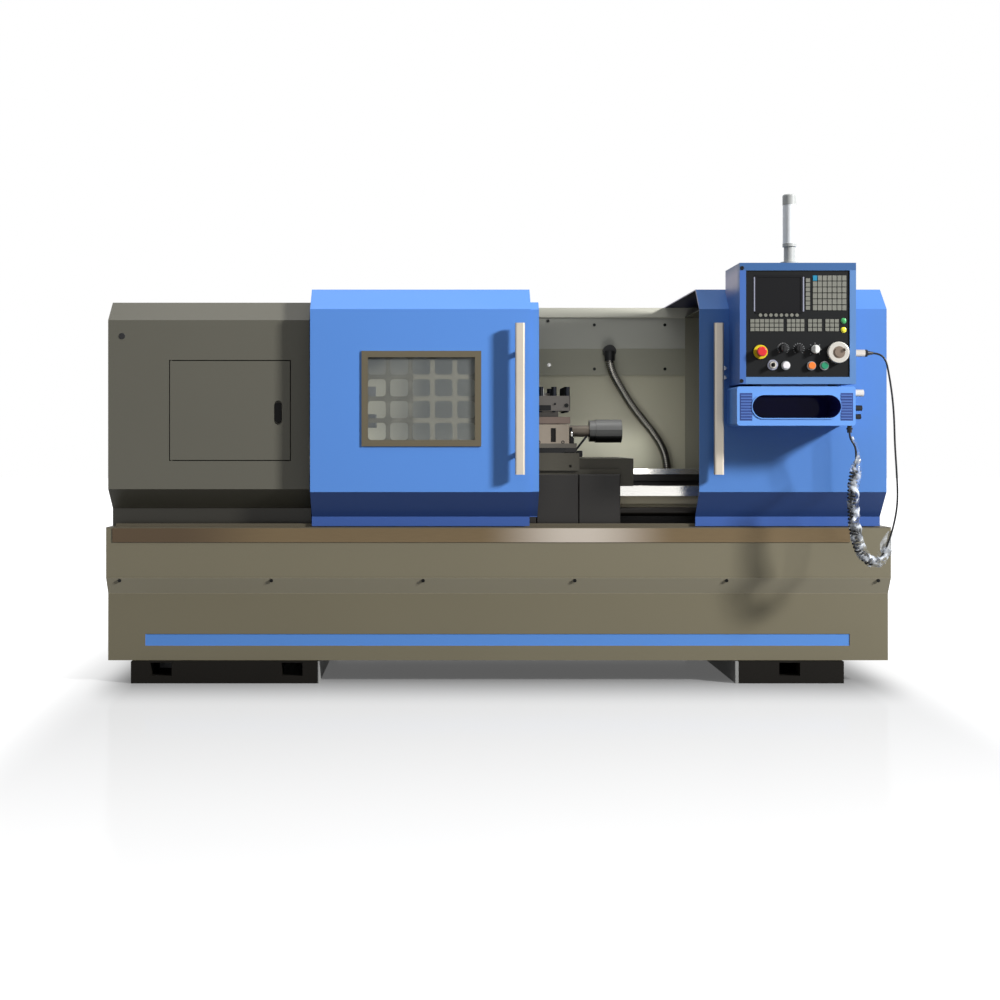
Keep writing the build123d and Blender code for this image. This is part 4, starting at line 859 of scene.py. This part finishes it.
print_white = finish("panel_marks", grain_skin, tone(150, 152, 152), 0.6, variation=0.1)
scale_marks("feed_scale", feed_at, 18, 23, 16, 1.6, print_white)
scale_marks("speed_scale", speed_at, 18, 23, 12, 1.6, print_white)
scale_marks("mode_scale", mode_at, 21, 26, 7, 1.8, print_white)
for node, name, colour in (("stop_button", "stop_red", tone(214, 40, 44)),
                           ("mode_selector", "knob_white", tone(232, 232, 228)),
                           ("button_white", "button_white", tone(232, 228, 230)),
                           ("button_orange", "button_orange", tone(240, 126, 50)),
                           ("button_green", "button_green", tone(30, 140, 100))):
    dress(plastic(name, colour), node)
key_switch_finish = finish("key_switch_metal", ground_skin, tone(205, 200, 190), 0.3, variation=0.2,
                           metal=0.5)
paint_round(key_switch_finish, (key_at[0] / 1000, key_at[1] / 1000), 0.008, tone(30, 28, 24), metal=0.0)
dress(key_switch_finish, "key_switch")
turned_piece("key_collar", [(0, 20.5), (1.5, 20.5), (3.5, 18.5), (3.5, 15), (2, 13.6), (0, 13.6)],
             (key_at[0], PANEL_FACE, key_at[1]), FORWARD, strip_metal, "right_hood",
             ring=True)
wheel_metal = finish("wheel_metal", ground_skin, tone(196, 192, 184), 0.36, variation=0.12, metal=0.5)
paint_round(wheel_metal, (wheel_at[0] / 1000, wheel_at[1] / 1000), 0.0235, tone(126, 112, 100),
            metal=0.4)
dress(wheel_metal, "panel_wheel")


# Screws of the control box. Two black cap screws on its front rim and two bright ones
# on the hood beside it hold the box to its bracket.
for number, (x, z) in enumerate(((920, 1636), (918, 1204))):
    turned_piece(f"box_screw_{number}", [(0, 7.4), (2.2, 7.4), (3, 6.6), (3.1, 3.6), (1.2, 3.2)],
                 (x, -840, z), FORWARD, black_steel, "right_hood")
for number, z in enumerate((1225, 1262)):
    turned_piece(f"bracket_screw_{number}", [(0, 7.5), (3.5, 7.5), (4.6, 6.4), (4.7, 3.4), (2, 3)],
                 (893, -645, z), FORWARD, ground_metal, "right_hood")


# Signal lamp on the control box. A grey moulded foot, screwed to the roof, and a cap
# hold a frosted clear tube.
dress(plastic("lamp_grey", tone(170, 172, 170), 0.4), "lamp_frame")
dress(plastic("lamp_lens", tone(235, 238, 240), 0.3), "lamp_lens")


# Clear film wound round the curly cord and its upper lead, with a loose tail. Thin
# crumpled packing film, glossy and half seen through, that was left on from new.
FILM_POINTS = 240
FILM_SIDES = 40
FILM_RADIUS, FILM_CRUMPLE = 0.0195, 0.0060
LEAD_RADIUS, LEAD_CRUMPLE = 0.0060, 0.0030
LEAD_LENGTH, LEAD_EASE = 0.125, 0.05
WRAP_SWING, WRAP_SPIRAL = 0.0040, 95
CRUMPLE_ROUND, CRUMPLE_ALONG = 1.2, 42
FILM_TINT = (0.62, 0.66, 0.72, 1)
CLEAREST, DENSE_FROM = 0.04, 0.62
FILM_SHIFT = Vector((0.006, -0.001, 0))
TAIL_STEPS = 14
TAIL_FOOT = Vector((1472, -795, 532))
TAIL_LEAN, TAIL_HEIGHT, TAIL_DROOP = 42, 96, 24
TAIL_WIDTH, TAIL_BULGE, BULGE_TURN = 14, 46, 2.6
TAIL_FOLDS, FOLD_DEPTH = 3, 12
# It runs from the last of the straight lead, over the coil, to just under the gland.
film_line = metres(cord_down)[-3:-1] + coil_axis[2:-6] + metres(cord_up)[1:-1]
film_path = even_points([place + FILM_SHIFT for place in film_line], FILM_POINTS)
film_long = path_length(film_path)


def film_radius(distance, angle):
    """Radius of the wound film, crumpled all over and slim along the upper lead."""
    wrap = 0.5 + 0.5 * sin(angle + distance * WRAP_SPIRAL)
    crumple = noise.noise(Vector((cos(angle) * CRUMPLE_ROUND, sin(angle) * CRUMPLE_ROUND,
                                  distance * CRUMPLE_ALONG)))
    slim = min(max((distance - film_long + LEAD_LENGTH) / LEAD_EASE, 0), 1)
    wound = FILM_RADIUS + WRAP_SWING * wrap + FILM_CRUMPLE * crumple
    return wound * (1 - slim) + (LEAD_RADIUS + LEAD_CRUMPLE * crumple) * slim


def film_material(name, clear_to, densest):
    """Glossy film with creases of noise, clear up to one value of it and at most so dense."""
    material = bpy.data.materials.new(name)
    material.use_nodes = True
    tree = material.node_tree
    shader = tree.nodes["Principled BSDF"]
    shader.inputs["Base Color"].default_value = FILM_TINT
    shader.inputs["Roughness"].default_value = 0.15
    place = tree.nodes.new("ShaderNodeTexCoord")
    creases = tree.nodes.new("ShaderNodeTexNoise")
    creases.inputs["Scale"].default_value = 26
    creases.inputs["Detail"].default_value = 2.5
    creases.inputs["Distortion"].default_value = 0.8
    tree.links.new(place.outputs["Object"], creases.inputs["Vector"])
    cover = ramp_node(tree, creases.outputs["Fac"], clear_to, DENSE_FROM, low=CLEAREST, high=densest,
                      soft=False)
    tree.links.new(cover, shader.inputs["Alpha"])
    folds = tree.nodes.new("ShaderNodeBump")
    folds.inputs["Strength"].default_value = 0.5
    folds.inputs["Distance"].default_value = 0.004
    tree.links.new(creases.outputs["Fac"], folds.inputs["Height"])
    tree.links.new(folds.outputs["Normal"], shader.inputs["Normal"])
    return material


film = tube_mesh("cord_film", film_path, film_radius, FILM_SIDES)
film.data.materials.append(film_material("packing_film", 0.47, 0.85))
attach(film, "right_hood")
tail_verts, tail_faces = [], []
for row in range(TAIL_STEPS + 1):
    for column in range(TAIL_STEPS + 1):
        across, up = column / TAIL_STEPS, row / TAIL_STEPS
        fold = noise.noise(Vector((across * TAIL_FOLDS, up * TAIL_FOLDS, 4))) * FOLD_DEPTH
        width = TAIL_WIDTH + TAIL_BULGE * sin(up * BULGE_TURN)
        aside = TAIL_LEAN * up + (across - 0.5) * width + fold
        tail_verts.append(TAIL_FOOT + Vector((aside, fold, TAIL_HEIGHT * up - TAIL_DROOP * across * up)))
        if row and column:
            corner = row * (TAIL_STEPS + 1) + column
            tail_faces.append((corner, corner - 1, corner - TAIL_STEPS - 2, corner - TAIL_STEPS - 1))
new_piece("film_tail", tail_verts, tail_faces, film_material("packing_film_tail", 0.1, 0.5),
          "right_hood")


bpy.context.view_layer.update()
